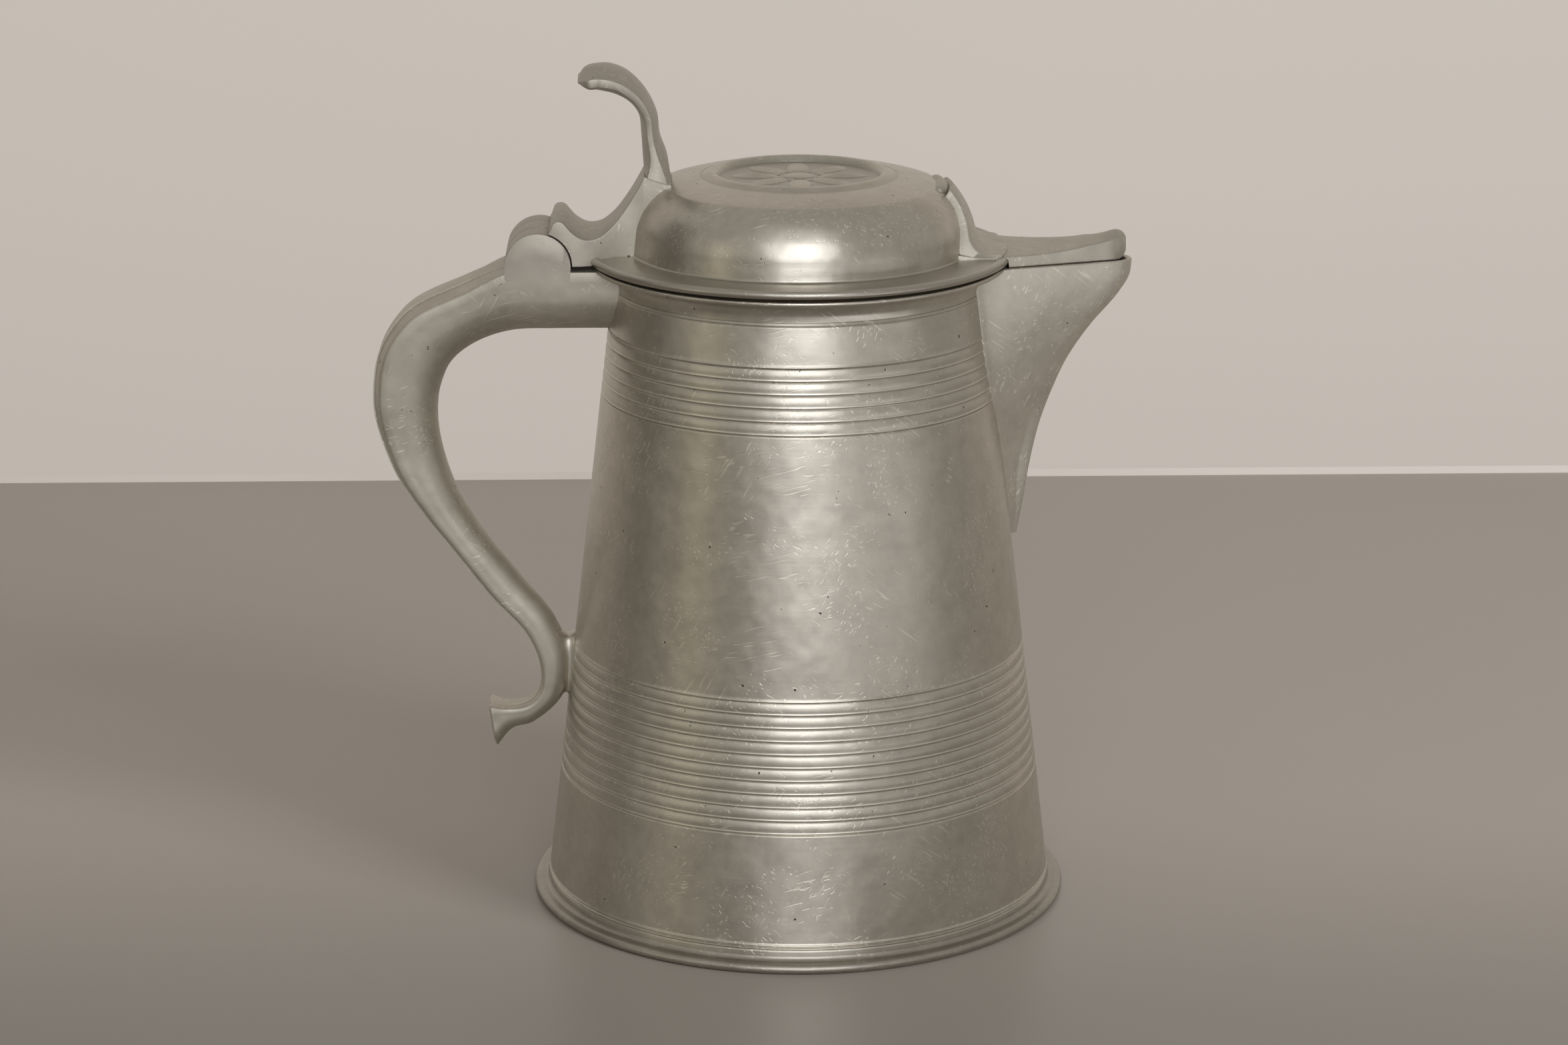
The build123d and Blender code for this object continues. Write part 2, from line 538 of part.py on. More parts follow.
def handle_section(back, belly, half_width, crown):
    """Cut across the handle: a crowned back with sharp edges, flat flanks and a round belly."""
    across = at(*belly) - at(*back)
    depth = across.length
    plane = Plane(origin=at(*back), x_dir=(0, 1, 0), z_dir=(across.Z, 0, -across.X))
    flank_end = crown + FLANK_SHARE * (depth - crown)
    lean = FLANK_LEAN * half_width
    outline = ThreePointArc((-half_width, crown), (0, 0), (half_width, crown))
    outline += Line((half_width, crown), (lean, flank_end))
    outline += ThreePointArc((lean, flank_end), (0, depth), (-lean, flank_end))
    outline += Line((-lean, flank_end), (-half_width, crown))
    return plane * make_face(outline)


def handle_bar():
    """The handle's grip, from the rim down to its fish-tail end."""
    sections = []
    for back_drop, back_out, belly_drop, belly_out, half_width, crown in HANDLE_STATIONS:
        back_z = RIM_TOP - back_drop
        belly_z = RIM_TOP - belly_drop
        back = (-wall_radius(back_z) - back_out, back_z)
        belly = (-wall_radius(belly_z) - belly_out, belly_z)
        sections.append(handle_section(back, belly, half_width, crown))
    return loft(sections) + extrude(sections[0], HANDLE_STATIONS[0][1] + DRUM_WALL, dir=(1, 0, 0))


def handle():
    """Cast handle with the two hinge ears, fitted to the wall and the rim."""
    casting = handle_bar() + cross_bar(PIN_X, PIN_Z, KNUCKLE_RADIUS, HINGE_WIDTH)
    slot_width = LID_KNUCKLE + 2 * SIDE_CLEARANCE
    casting -= cross_bar(PIN_X, PIN_Z, KNUCKLE_RADIUS + EAR_CLEARANCE, slot_width)
    casting -= cross_bar(PIN_X, PIN_Z, PIN_RADIUS, HINGE_WIDTH)
    return casting - drum_solid() - rim_solid()


def handle_strut():
    """Solder web that fills the gap between the handle's bend and the wall."""
    top = RIM_TOP - STRUT_TOP_DROP
    bottom = RIM_TOP - STRUT_BOTTOM_DROP
    middle = (top + bottom) / 2
    x = -wall_radius(middle)
    block = Pos(x, 0, middle) * Box(2 * STRUT_BITE, STRUT_WIDTH, top - bottom)
    web = block - drum_solid() - handle_bar()
    return web.solids().sort_by(SortBy.VOLUME)[-1]


def cover_plan():
    """Upright prism over the spout's open top: a wedge with a round nose."""
    tip = wall_radius(SPOUT_TOP) + SPOUT_STATIONS[0][1] - COVER_SHORT
    root_half, nose_half = SPOUT_STATIONS[0][2:]
    start = sqrt(wall_radius(SPOUT_TOP) ** 2 - root_half ** 2)
    end = tip - COVER_NOSE
    plan = Polyline((0, root_half), (start, root_half), (end, nose_half))
    plan += ThreePointArc((end, nose_half), (tip, 0), (end, -nose_half))
    plan += Polyline((end, -nose_half), (start, -root_half), (0, -root_half), (0, root_half))
    return extrude(make_face(plan), FAR)


def spout_cover():
    """Wedge plate that closes the spout's open top, with an upturned tip."""
    under = SPOUT_TOP + COVER_GAP
    tip = wall_radius(SPOUT_TOP) + SPOUT_STATIONS[0][1] - COVER_SHORT
    rise_start = tip - COVER_TIP_LENGTH
    crest = (tip - COVER_CREST_BACK, under + COVER_TIP_RISE)
    back = FLANGE_RADIUS - COVER_LAP
    rise = (rise_start, under + COVER_WAIST + COVER_RISE_STEP)
    sole = (tip - COVER_EDGE, under + COVER_SOLE_RISE)
    outline = line((0, under), (sole[0] - COVER_SOLE, under), sole)
    outline += arc(sole, (tip, under + COVER_BULGE * COVER_TIP_RISE), crest)
    outline += arc(crest, ((crest[0] + rise_start) / 2, (crest[1] + rise[1]) / 2 - COVER_HOLLOW), rise)
    outline += arc(rise, ((back + rise_start) / 2, under + COVER_WAIST), (back, under + COVER_THICKNESS))
    outline += line((back, under + COVER_THICKNESS), (0, under + COVER_THICKNESS), (0, under))
    plate = cut_across(outline, FAR) & cover_plan()
    plate -= lid_solid()
    plate -= Pos(0, 0, FLANGE_TOP - FAR / 2) * Cylinder(FLANGE_RADIUS, FAR)
    plate -= Cylinder(DOME_RADIUS + DOME_FILLET, FAR)
    return plate.solids().sort_by(SortBy.VOLUME)[-1]


def cover_strap():
    """Fan-shaped strap that ties the spout cover to the dome, with a bead at its upper end."""
    under = SPOUT_TOP + COVER_GAP + COVER_THICKNESS
    top = DOME_EDGE - COVER_STRAP_TOP_DROP
    root_half = SPOUT_STATIONS[0][2]
    top_half = COVER_STRAP_TOP_WIDTH / 2
    foot = SEAT_Z + SHOULDER_HEIGHT
    shoulder_top = DOME_EDGE - SHOULDER_DROP
    face = DOME_RADIUS + STRAP_THICKNESS
    flare_top = under + STRAP_FLARE_HEIGHT
    flare_out, flare_up = STRAP_FLARE_POINT
    waist_in, waist_up = STRAP_WAIST
    side = face - STRAP_SIDE_DRAFT
    skin_end = (SHOULDER_RADIUS + STRAP_END_REACH, shoulder_top + STRAP_THICKNESS - STRAP_SKIN_EASE)
    skin = line((0, under), (face + STRAP_FLARE, under))
    flare = (face + flare_out * STRAP_FLARE, under + flare_up * STRAP_FLARE_HEIGHT)
    skin += arc((face + STRAP_FLARE, under), flare, (side, flare_top))
    skin += arc((side, flare_top), (face - waist_in, foot + waist_up * (shoulder_top - foot)), skin_end)
    skin += line(skin_end, (0, shoulder_top + STRAP_THICKNESS), (0, under))
    fan = Plane.YZ * make_face(Polyline((-root_half, under), (root_half, under), (top_half, top),
                                        (-top_half, top), (-root_half, under)))
    strap = turned(skin) & extrude(fan, FAR) & cover_plan()
    bead_x = sqrt((SHOULDER_RADIUS + 1.0) ** 2 - top_half ** 2 / 4)
    strap += cross_bar(bead_x, top, STRAP_BEAD_RADIUS, COVER_STRAP_TOP_WIDTH)
    strap -= lid_solid()
    return strap.solids().sort_by(SortBy.VOLUME)[-1]


parts = {
    "drum_wall": drum_wall(),
    "foot_ring": foot_ring(),
    "bottom_plate": bottom_plate(),
    "rim_ring": rim_ring(),
    "spout": spout(),
    "handle": handle(),
    "handle_strut": handle_strut(),
    "hinge_pin": hinge_pin(),
    "lid_shell": lid_shell(),
    "lid_bezel": lid_bezel(),
    "medallion_ring": medallion_ring(),
    "medallion_disc": medallion_disc(),
    "hinge_strap": hinge_strap(),
    "thumbpiece": thumbpiece(),
    "spout_cover": spout_cover(),
    "cover_strap": cover_strap(),
}

# The origin lies on the table, half way between the handle's back and the spout's tip.
low = min(shape.bounding_box().min.X for shape in parts.values())
high = max(shape.bounding_box().max.X for shape in parts.values())
shift = Pos(-(low + high) / 2, 0, 0)
print("drum's axis at x =", round(-(low + high) / 2, 4))

os.makedirs("parts", exist_ok=True)
for name, shape in parts.items():
    export_step(shift * shape, f"parts/{name}.step")
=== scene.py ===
from math import radians

import bmesh
import bpy
import numpy as np
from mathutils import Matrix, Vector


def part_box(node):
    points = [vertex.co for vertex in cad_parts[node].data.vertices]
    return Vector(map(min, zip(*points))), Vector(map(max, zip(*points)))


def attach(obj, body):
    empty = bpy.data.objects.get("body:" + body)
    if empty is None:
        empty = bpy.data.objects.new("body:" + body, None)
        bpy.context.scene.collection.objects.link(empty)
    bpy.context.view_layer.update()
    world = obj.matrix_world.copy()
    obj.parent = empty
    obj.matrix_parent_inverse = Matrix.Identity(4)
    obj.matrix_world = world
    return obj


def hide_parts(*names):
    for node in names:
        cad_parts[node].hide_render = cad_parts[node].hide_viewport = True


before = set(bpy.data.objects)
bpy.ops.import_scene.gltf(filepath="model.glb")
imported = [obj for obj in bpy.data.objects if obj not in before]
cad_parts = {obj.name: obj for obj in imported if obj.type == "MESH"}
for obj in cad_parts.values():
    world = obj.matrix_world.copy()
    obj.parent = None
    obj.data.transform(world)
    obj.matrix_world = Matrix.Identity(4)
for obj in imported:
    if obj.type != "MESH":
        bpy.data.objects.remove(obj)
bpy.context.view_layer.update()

# Camera: a long lens in front of the jug, a little left of the drum's axis and above the lid,
# looking down on it.
wall_low, wall_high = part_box("drum_wall")
AXIS_X = (wall_low.x + wall_high.x) / 2
camera_data = bpy.data.cameras.new("camera")
camera_data.sensor_fit = "HORIZONTAL"
camera_data.sensor_width = 36.0
camera_data.lens = 94.19
camera_data.clip_start = 0.05
camera = bpy.data.objects.new("camera", camera_data)
camera.location = (AXIS_X - 0.03353, -1.12175, 0.41993)
camera.rotation_euler = (radians(90 - 15.568), 0, radians(-1.5))
bpy.context.scene.collection.objects.link(camera)
bpy.context.scene.camera = camera
bpy.context.scene.view_settings.view_transform = "Standard"


# Table and wall: a plain matt table top with a pale strip along its back edge, and a paler wall, far
# enough behind it to leave room for a look at the jug from the back.
ROOM_REACH = 4.0           # from the middle to each side
TABLE_DEPTH = 0.452        # from the drum's axis back to the table's edge
STRIP_HEIGHT = 0.003
WALL_DEPTH = 1.7
TABLE_GREY = (0.40, 0.36, 0.32, 1)
WALL_GREY = (0.84, 0.785, 0.74, 1)
STRIP_GREY = (0.90, 0.845, 0.80, 1)


class Field:
    """A shader socket in an expression: sums and products with fields or numbers add Math nodes."""

    def __init__(self, tree, socket=None):
        self.tree = tree
        self.socket = socket

    def node(self, kind, settings, values, out=0):
        """Output of a new node, after its settings and then its inputs are set, by name or number."""
        new = self.tree.nodes.new(kind)
        for key, value in settings.items():
            if key == "stops":
                ramp = new.color_ramp
                for stop in value[len(ramp.elements):]:
                    ramp.elements.new(stop[0])
                for element, (position, colour) in zip(ramp.elements, value):
                    element.position = position
                    element.color = colour
            else:
                setattr(new, key, value)
        for key, value in values.items():
            if isinstance(value, Field):
                self.tree.links.new(value.socket, new.inputs[key])
            else:
                new.inputs[key].default_value = value
        return Field(self.tree, new.outputs[out])

    def math(self, operation, *values):
        return self.node("ShaderNodeMath", {"operation": operation}, dict(enumerate(values)))

    def __add__(self, other):
        return self.math("ADD", self, other)

    def __radd__(self, other):
        return self.math("ADD", other, self)

    def __sub__(self, other):
        return self.math("SUBTRACT", self, other)

    def __rsub__(self, other):
        return self.math("SUBTRACT", other, self)

    def __mul__(self, other):
        return self.math("MULTIPLY", self, other)

    def __rmul__(self, other):
        return self.math("MULTIPLY", other, self)

    def size(self):
        """The value without its sign."""
        return self.math("ABSOLUTE", self)

    def clipped(self, low, high):
        """0 below low, 1 above high and a smooth step between."""
        return self.node("ShaderNodeMapRange", {"interpolation_type": "SMOOTHSTEP"},
                         {"Value": self, "From Min": low, "From Max": high})

    def mix(self, first, second):
        """Colour that goes from the first to the second as this value goes from 0 to 1."""
        return self.node("ShaderNodeMix", {"data_type": "RGBA"}, {0: self, 6: first, 7: second}, 2)


def shade(colour, factor):
    """Opaque colour, darker or lighter by the factor."""
    return tuple(factor * c for c in colour[:3]) + (1,)


def painted(name, colour, scale, front_shade, rough, shine=0.5, glow=0.0):
    """Matt paint whose colour drifts by a few percent in large soft clouds, with painted shade that makes it
    darker in front of the first of the two depths given for it, fading out by the second. A glow lights a
    wall that the lamps hardly reach."""
    material = bpy.data.materials.new(name)
    material.use_nodes = True
    tree = material.node_tree
    tree.nodes.clear()
    start = Field(tree)
    place = start.node("ShaderNodeTexCoord", {}, {}, "Object")
    cloud = start.node("ShaderNodeTexNoise", {}, {"Vector": place, "Scale": scale, "Detail": 3.0})
    # Painted shade: the colour is darker in front of the given depths.
    depth = start.node("ShaderNodeSeparateXYZ", {}, {"Vector": place}, "Y").clipped(*front_shade)
    tone = depth.mix(shade(colour, 0.6), cloud.mix(shade(colour, 0.94), colour))
    shader = start.node("ShaderNodeBsdfPrincipled", {}, {
        "Base Color": tone, "Roughness": rough, "Specular IOR Level": shine, "Emission Color": tone,
        "Emission Strength": glow})
    tree.links.new(shader.socket, tree.nodes.new("ShaderNodeOutputMaterial").inputs["Surface"])
    return material


def panel(name, corners, material):
    """Flat four-cornered panel that stands for part of the room."""
    mesh = bpy.data.meshes.new(name)
    mesh.from_pydata(corners, [], [(0, 1, 2, 3)])
    mesh.materials.append(material)
    thing = bpy.data.objects.new(name, mesh)
    bpy.context.scene.collection.objects.link(thing)


def upright(name, depth, low, high, material):
    """Panel that stands across the room at one depth, between two heights."""
    panel(name, [(-ROOM_REACH, depth, low), (ROOM_REACH, depth, low), (ROOM_REACH, depth, high),
                 (-ROOM_REACH, depth, high)], material)


# The table's front, towards the camera, is darker: painted shade.
panel("table", [(-ROOM_REACH, -ROOM_REACH, 0), (ROOM_REACH, -ROOM_REACH, 0), (ROOM_REACH, TABLE_DEPTH, 0),
                (-ROOM_REACH, TABLE_DEPTH, 0)],
      painted("table_paint", TABLE_GREY, 3.0, (-0.14, 0.08), 0.36, 0.34))
upright("room_wall", WALL_DEPTH, -0.6, 3.0,
        painted("wall_paint", WALL_GREY, 0.8, (-2.0, -1.0), 0.8, glow=0.15))
upright("wall_foot", TABLE_DEPTH - 0.001, 0.0, STRIP_HEIGHT,
        painted("foot_paint", STRIP_GREY, 9.0, (-2.0, -1.0), 0.8))

# Lights: one large soft box behind the camera, a weak one above it, a white sheet on the table and a
# room light at the right, a narrow streak and a dark curtain at the left, and a grey room.
world = bpy.data.worlds.new("room")
world.use_nodes = True
world.node_tree.nodes["Background"].inputs["Color"].default_value = (0.53, 0.50, 0.457, 1)
world.node_tree.nodes["Background"].inputs["Strength"].default_value = 0.76
bpy.context.scene.world = world


def soft_box(name, place, target, width, height, power, colour=(0.965, 0.98, 1.0)):
    """Rectangular area light that faces its target and isn't seen itself."""
    light = bpy.data.lights.new(name, "AREA")
    light.shape = "RECTANGLE"
    light.size, light.size_y = width, height
    light.energy = power
    light.color = colour
    thing = bpy.data.objects.new(name, light)
    thing.location = place
    aim = np.array(target) - np.array(place)
    flat = np.hypot(aim[0], aim[1])
    thing.rotation_euler = (np.arctan2(flat, -aim[2]), 0, np.arctan2(-aim[0], aim[1]))
    thing.visible_camera = False
    bpy.context.scene.collection.objects.link(thing)
    return thing


soft_box("key_light", (0.05, -1.3, 0.62), (0.05, 0, 0.62), 0.70, 0.86, 5.6)
soft_box("upper_light", (0.05, -1.15, 1.42), (0.05, 0, 0.2), 0.8, 0.5, 0.8)
soft_box("white_sheet", (0.72, -0.62, 0.012), (0.72, -0.62, 1.0), 1.1, 0.6, 2.1)
soft_box("streak_light", (-1.0, -0.66, 0.30), (0, 0, 0.15), 0.06, 0.6, 0.25, (1, 0.93, 0.6))
room_light = soft_box("room_light", (1.0, -0.9, 0.9), (0.1, 0.2, 0.0), 0.5, 0.5, 11)
room_light.visible_glossy = False
panel("dark_curtain", [(-1.25, -0.12, 0.0), (-1.25, 0.45, 0.0), (-1.25, 0.45, 0.9), (-1.25, -0.12, 0.9)],
      painted("curtain_cloth", (0.2, 0.185, 0.165, 1), 2.0, (-3.0, -2.0), 0.9))


# Drum: a tapered wall, cast and turned, with two bands of reeds. Each reed ends in a fine bead
# over a cut line. The wall is open behind the spout, and soldered to the foot and the rim.
RIM_TOP = 184.0
WALL_THICKNESS = 2.4
FOOT_HEIGHT = 4.2
RIM_BASE = 177.0
REED_PITCH = 3.65
REED_DEPTH = 0.3
LOWER_BAND = (37.4, 10)      # height of the lowest line, number of reeds
UPPER_BAND = (146.3, 5)
FINE_LINES = (5.5, 6.4, 175.9, 176.7)
BAND_CUT = 0.10              # depth of the lines between the reeds
FINE_CUT = 0.16
WINDOW = (125.6, 174.0)
TOP_ARCH = 9.0
LOW_ARCH = 4.0
SPOUT_DROPS = (0, 5, 10, 19, 28, 38, 47, 58, 70, 79.6)
SPOUT_ROOTS = (18, 18, 18, 17.9, 17, 14.6, 10.6, 7.2, 4.4, 1.5)
SPOUT_TOP = 183.7
COLUMNS = 193


def wall_radius(z):
    """Outside radius of the plain wall at height z."""
    return 72.6 - 21.4 * z / RIM_TOP


def grid(points, rows_close=False, columns_close=True):
    """Points and quads of a grid: each point joins the next in its row and in its column, and the
    last joins the first where rows or columns close."""
    rows, columns = points.shape[:2]
    index = np.arange(rows * columns).reshape(rows, columns)
    if rows_close:
        index = np.vstack([index, index[:1]])
    if columns_close:
        index = np.hstack([index, index[:, :1]])
    quads = np.stack([index[:-1, :-1], index[:-1, 1:], index[1:, 1:], index[1:, :-1]], axis=-1)
    return points.reshape(-1, 3), quads.reshape(-1, 4)


def piece(name, body, shells, sharp=35.0):
    """Object from closed shells of points and quads, in millimetres about the drum's axis: moved to
    its place, with doubles merged, faces turned outwards, and shaded smooth up to the sharp angle."""
    starts = np.cumsum([0] + [len(points) for points, quads in shells])
    points = np.concatenate([points for points, quads in shells]) * 0.001
    points[:, 0] += AXIS_X
    quads = np.concatenate([quads + start for (_, quads), start in zip(shells, starts)])
    mesh = bpy.data.meshes.new(name)
    mesh.vertices.add(len(points))
    mesh.vertices.foreach_set("co", points.ravel())
    mesh.loops.add(quads.size)
    mesh.loops.foreach_set("vertex_index", quads.ravel())
    mesh.polygons.add(len(quads))
    mesh.polygons.foreach_set("loop_start", np.arange(0, quads.size, 4))
    mesh.update(calc_edges=True)
    work = bmesh.new()
    work.from_mesh(mesh)
    bmesh.ops.remove_doubles(work, verts=work.verts, dist=2e-6)
    bmesh.ops.dissolve_degenerate(work, edges=work.edges, dist=1e-7)
    bmesh.ops.delete(work, geom=[edge for edge in work.edges if not edge.link_faces], context="EDGES")
    bmesh.ops.recalc_face_normals(work, faces=work.faces)
    work.to_mesh(mesh)
    work.free()
    mesh.polygons.foreach_set("use_smooth", np.ones(len(mesh.polygons), dtype=bool))
    mesh.set_sharp_from_angle(angle=radians(sharp))
    thing = bpy.data.objects.new(name, mesh)
    bpy.context.scene.collection.objects.link(thing)
    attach(thing, body)
    return thing


def pewter(name, colour=(0.58, 0.55, 0.49), rough=0.34, lathe=0.0, dents=1.0, shade_heights=None, bands=()):
    """Old pewter as a metal whose colour drifts in clouds, with scratches, pits, a soft uneven
    surface, fine turning lines where lathe is 1, painted shade that darkens the colour beyond the first
    of two given heights and fades out by the second, and in bands of reeds a painted highlight on the
    bead over each cut line."""
    material = bpy.data.materials.new(name)
    material.use_nodes = True
    tree = material.node_tree
    tree.nodes.clear()
    start = Field(tree)
    place = start.node("ShaderNodeTexCoord", {}, {}, "Object")
    spot = start.node("ShaderNodeMapping", {}, {"Vector": place, "Location": (-1000 * AXIS_X, 0, 0),
                                                "Scale": (1000, 1000, 1000)})

    def noise(scale, detail=3.0, stretch=(1, 1, 1), turn=(0, 0, 0), roughness=0.55):
        """Noise whose clouds are 1 / scale millimetres across, times stretch along the turned axes."""
        where = start.node("ShaderNodeMapping", {"vector_type": "TEXTURE"},
                           {"Vector": spot, "Scale": stretch, "Rotation": turn})
        return start.node("ShaderNodeTexNoise", {}, {"Vector": where, "Scale": scale, "Detail": detail,
                                                     "Roughness": roughness})

    clouds = noise(0.03, 4.0)
    specks = noise(0.35, 5.0, roughness=0.65)
    blotch = noise(0.11, 3.0, roughness=0.6)
    rings = noise(1.1, 3.0, (70, 70, 1))
    pits = noise(0.5, 2.0).clipped(0.74, 0.78)
    scratch = 0.0
    for angle in (0.5, -0.9, 1.3):
        streaks = noise(1.6, 0.0, (1, 1, 22), (0.2, angle, 0.1)).clipped(0.69, 0.75)
        scratch = streaks * noise(0.06, 2.0, turn=(0.4, 0.3, angle)).clipped(0.5, 0.62) + scratch
    tone = 0.3 * clouds + 0.35 * blotch + 0.35 * specks + 0.06 * lathe * (rings - 0.5)
    # Lighter colour for worn scratches, and for the painted highlight on the reeds' beads.
    wear_and_highlight = shade(colour, 1.35)
    base = tone.clipped(0.25, 0.75).mix(shade(colour, 0.86), shade(colour, 1.12))
    base = (0.7 * scratch).mix(base, wear_and_highlight)
    base = pits.mix(base, (0.1, 0.085, 0.07, 1))
    up = start.node("ShaderNodeSeparateXYZ", {}, {"Vector": spot}, "Z")
    for low, count in bands:
        phase = (up - (low - 0.3)) * (1 / REED_PITCH)
        within = phase.clipped(-0.02, 0.0) * (1 - phase.clipped(count + 0.2, count + 0.25))
        over_line = phase.math("FRACT", phase) * REED_PITCH
        # Painted highlight: a light line on the bead above each cut line, where light catches its upper
        # face.
        bead = within * (1 - (over_line - 0.85).size().clipped(0.12, 0.30))
        base = (0.9 * bead).mix(base, wear_and_highlight)
    # Painted shade: darker beyond the first of the two heights, fading out by the second.
    if shade_heights:
        base = up.clipped(*shade_heights).mix(shade(colour, 0.8), base)
    gloss = rough + 0.1 * (specks - 0.5) + 0.1 * (clouds - 0.5) + 0.25 * pits
    height = 0.9 * dents * noise(0.06, 2.0) + 0.03 * specks + 0.02 * lathe * rings
    height = height - 0.04 * scratch - 0.15 * pits
    bumps = start.node("ShaderNodeBump", {}, {"Height": height, "Distance": 0.001, "Strength": 0.55})
    shader = start.node("ShaderNodeBsdfPrincipled", {}, {
        "Base Color": base, "Roughness": gloss, "Metallic": 1.0, "Normal": bumps})
    tree.links.new(shader.socket, tree.nodes.new("ShaderNodeOutputMaterial").inputs["Surface"])
    return material


def band_lines(band):
    """Heights of the cut lines of a band: one below each reed and one above the last."""
    low, count = band
    return low + REED_PITCH * np.arange(count + 1)


def spread(anchors, near, base):
    """Heights for rows of points: the base heights, with the near offsets about each anchor, and
    none closer than 0.08 to the one below."""
    heights = np.sort(np.concatenate([base, (np.asarray(anchors)[:, None] + near).ravel()]))
    heights = heights[(heights >= base[0]) & (heights <= base[-1])]
    return heights[np.concatenate([[True], np.diff(heights) > 0.08])]


def wall_profile(z):
    """Outside radius with the turning: in a band each reed bulges as 1 - (2p - 1)^2 of its phase p,
    each cut line is a narrow dip with a narrow bead above it, as bell curves."""
    radius = wall_radius(z)
    lines = [(np.array(FINE_LINES), FINE_CUT)]
    for band in (LOWER_BAND, UPPER_BAND):
        phase = (z - band[0]) / REED_PITCH
        inside = (phase > 0) & (phase < band[1])
        radius = radius - inside * REED_DEPTH * (2 * (phase % 1) - 1) ** 2
        lines.append((band_lines(band), BAND_CUT))
    for heights, depth in lines:
        away = z[:, None] - heights[None, :]
        radius = radius - depth * np.exp(-((away / 0.17) ** 2)).sum(axis=1)
        radius = radius + 1.6 * depth * np.exp(-(((away - 0.5) / 0.22) ** 2)).sum(axis=1)
    return radius


def window_angle(z):
    """Half angle of the opening behind the spout at height z: it follows the spout's root, and
    closes in a round arch at the top and the bottom."""
    low, high = WINDOW
    half = np.interp(SPOUT_TOP - z, SPOUT_DROPS, SPOUT_ROOTS) - 1.9
    top_arch = np.sqrt(np.clip(1 - np.clip((z - high + TOP_ARCH) / TOP_ARCH, 0, None) ** 2, 0, 1))
    low_arch = np.sqrt(np.clip(1 - np.clip((low + LOW_ARCH - z) / LOW_ARCH, 0, None) ** 2, 0, 1))
    return np.arcsin(half * top_arch * low_arch / wall_radius(z))


def ring_angles(z, columns):
    """Angles of each row's points, which close up round the jug but leave the opening free: within
    30 degrees of the spout they are squeezed to start at the opening's edge."""
    angle = np.linspace(-np.pi, np.pi, columns)[None, :] + np.zeros((len(z), 1))
    side = np.pi - np.abs(angle)
    reach = radians(30)
    edge = window_angle(z)[:, None]
    turned = np.where(side < reach, edge + (reach - edge) * side / reach, side)
    return np.where(angle < 0, turned, -turned)


near_line = np.array([-0.65, -0.42, -0.28, -0.17, -0.08, 0.0, 0.1, 0.2, 0.32, 0.45, 0.58, 0.72, 0.95, 1.4,
                      2.0, 2.6])
arch_rows = np.concatenate([WINDOW[1] - TOP_ARCH * (1 - np.cos(np.linspace(0, np.pi / 2, 9))),
                            WINDOW[0] + LOW_ARCH * (1 - np.cos(np.linspace(0, np.pi / 2, 5)))])
outer_z = spread(np.concatenate([band_lines(LOWER_BAND), band_lines(UPPER_BAND), FINE_LINES]), near_line,
                 np.linspace(FOOT_HEIGHT, RIM_BASE, 60))
outer_z = np.unique(np.concatenate([outer_z, arch_rows]))
in_window = (outer_z >= WINDOW[0]) & (outer_z <= WINDOW[1])
plain_z = np.linspace(FOOT_HEIGHT, WINDOW[0] - 3, 14)
inner_z = np.concatenate([plain_z, outer_z[in_window], [RIM_BASE]])
all_z = np.concatenate([outer_z, inner_z[::-1]])
all_r = np.concatenate([wall_profile(outer_z), wall_radius(inner_z[::-1]) - WALL_THICKNESS])
angles = ring_angles(all_z, COLUMNS)
wall_points = np.stack([all_r[:, None] * np.cos(angles), all_r[:, None] * np.sin(angles),
                        all_z[:, None] + 0 * angles], axis=-1)
wall_shell = grid(wall_points, rows_close=True, columns_close=False)
outer_rows = np.flatnonzero(in_window)
inner_rows = len(all_z) - 1 - (len(plain_z) + np.arange(len(outer_rows)))
jamb = np.column_stack([outer_rows[:-1], outer_rows[1:], inner_rows[1:], inner_rows[:-1]]) * COLUMNS
wall_shell = (wall_shell[0], np.concatenate([wall_shell[1], jamb, jamb + COLUMNS - 1]))
drum = piece("drum", "jug", [wall_shell])
drum.data.materials.append(pewter("drum_pewter", rough=0.37, lathe=1.0, bands=(LOWER_BAND, UPPER_BAND)))
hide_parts("drum_wall")


# Foot: a flat ring with a rounded edge and a small cove up to the wall, turned from one pewter
# casting and soldered round the drum's lower edge. It is rougher than the wall, and darker in colour:
# painted shade.
STEPS = 256


def rounded(corners, radius, steps=6):
    """Closed outline with rounded corners: each corner gives way to a parabola that starts and ends
    one radius away along its sides, or 0.45 of a short side."""
    corners = np.asarray(corners, dtype=float)
    radius = np.broadcast_to(radius, len(corners))
    ends = []
    for step in (1, -1):
        side = np.roll(corners, step, axis=0) - corners
        length = np.linalg.norm(side, axis=1)
        ends.append(corners + side * (np.minimum(radius, 0.45 * length) / length)[:, None])
    t = np.linspace(0, 1, steps)[None, :, None]
    curve = (1 - t) ** 2 * ends[0][:, None] + 2 * t * (1 - t) * corners[:, None] + t * t * ends[1][:, None]
    return curve.reshape(-1, 2)


def turned(outline, steps=STEPS):
    """Closed shell from an outline of radius and height carried once round the drum's axis."""
    outline = np.asarray(outline, dtype=float)
    angle = np.arange(steps) * 2 * np.pi / steps
    points = np.stack([outline[:, :1] * np.cos(angle), outline[:, :1] * np.sin(angle),
                       outline[:, 1:] + 0 * angle], axis=-1)
    return grid(points, rows_close=True)


def arc(a, b, c, steps=12):
    """Points on the circle through three points, from the first to the last."""
    a, b, c = (np.array(p, dtype=float) for p in (a, b, c))
    centre = np.linalg.solve(2 * np.array([b - a, c - a]), [b @ b - a @ a, c @ c - a @ a])
    turns = np.unwrap([np.arctan2(p[1] - centre[1], p[0] - centre[0]) for p in (a, b, c)])
    t = np.linspace(turns[0], turns[2], steps)
    return centre + np.linalg.norm(a - centre) * np.column_stack([np.cos(t), np.sin(t)])


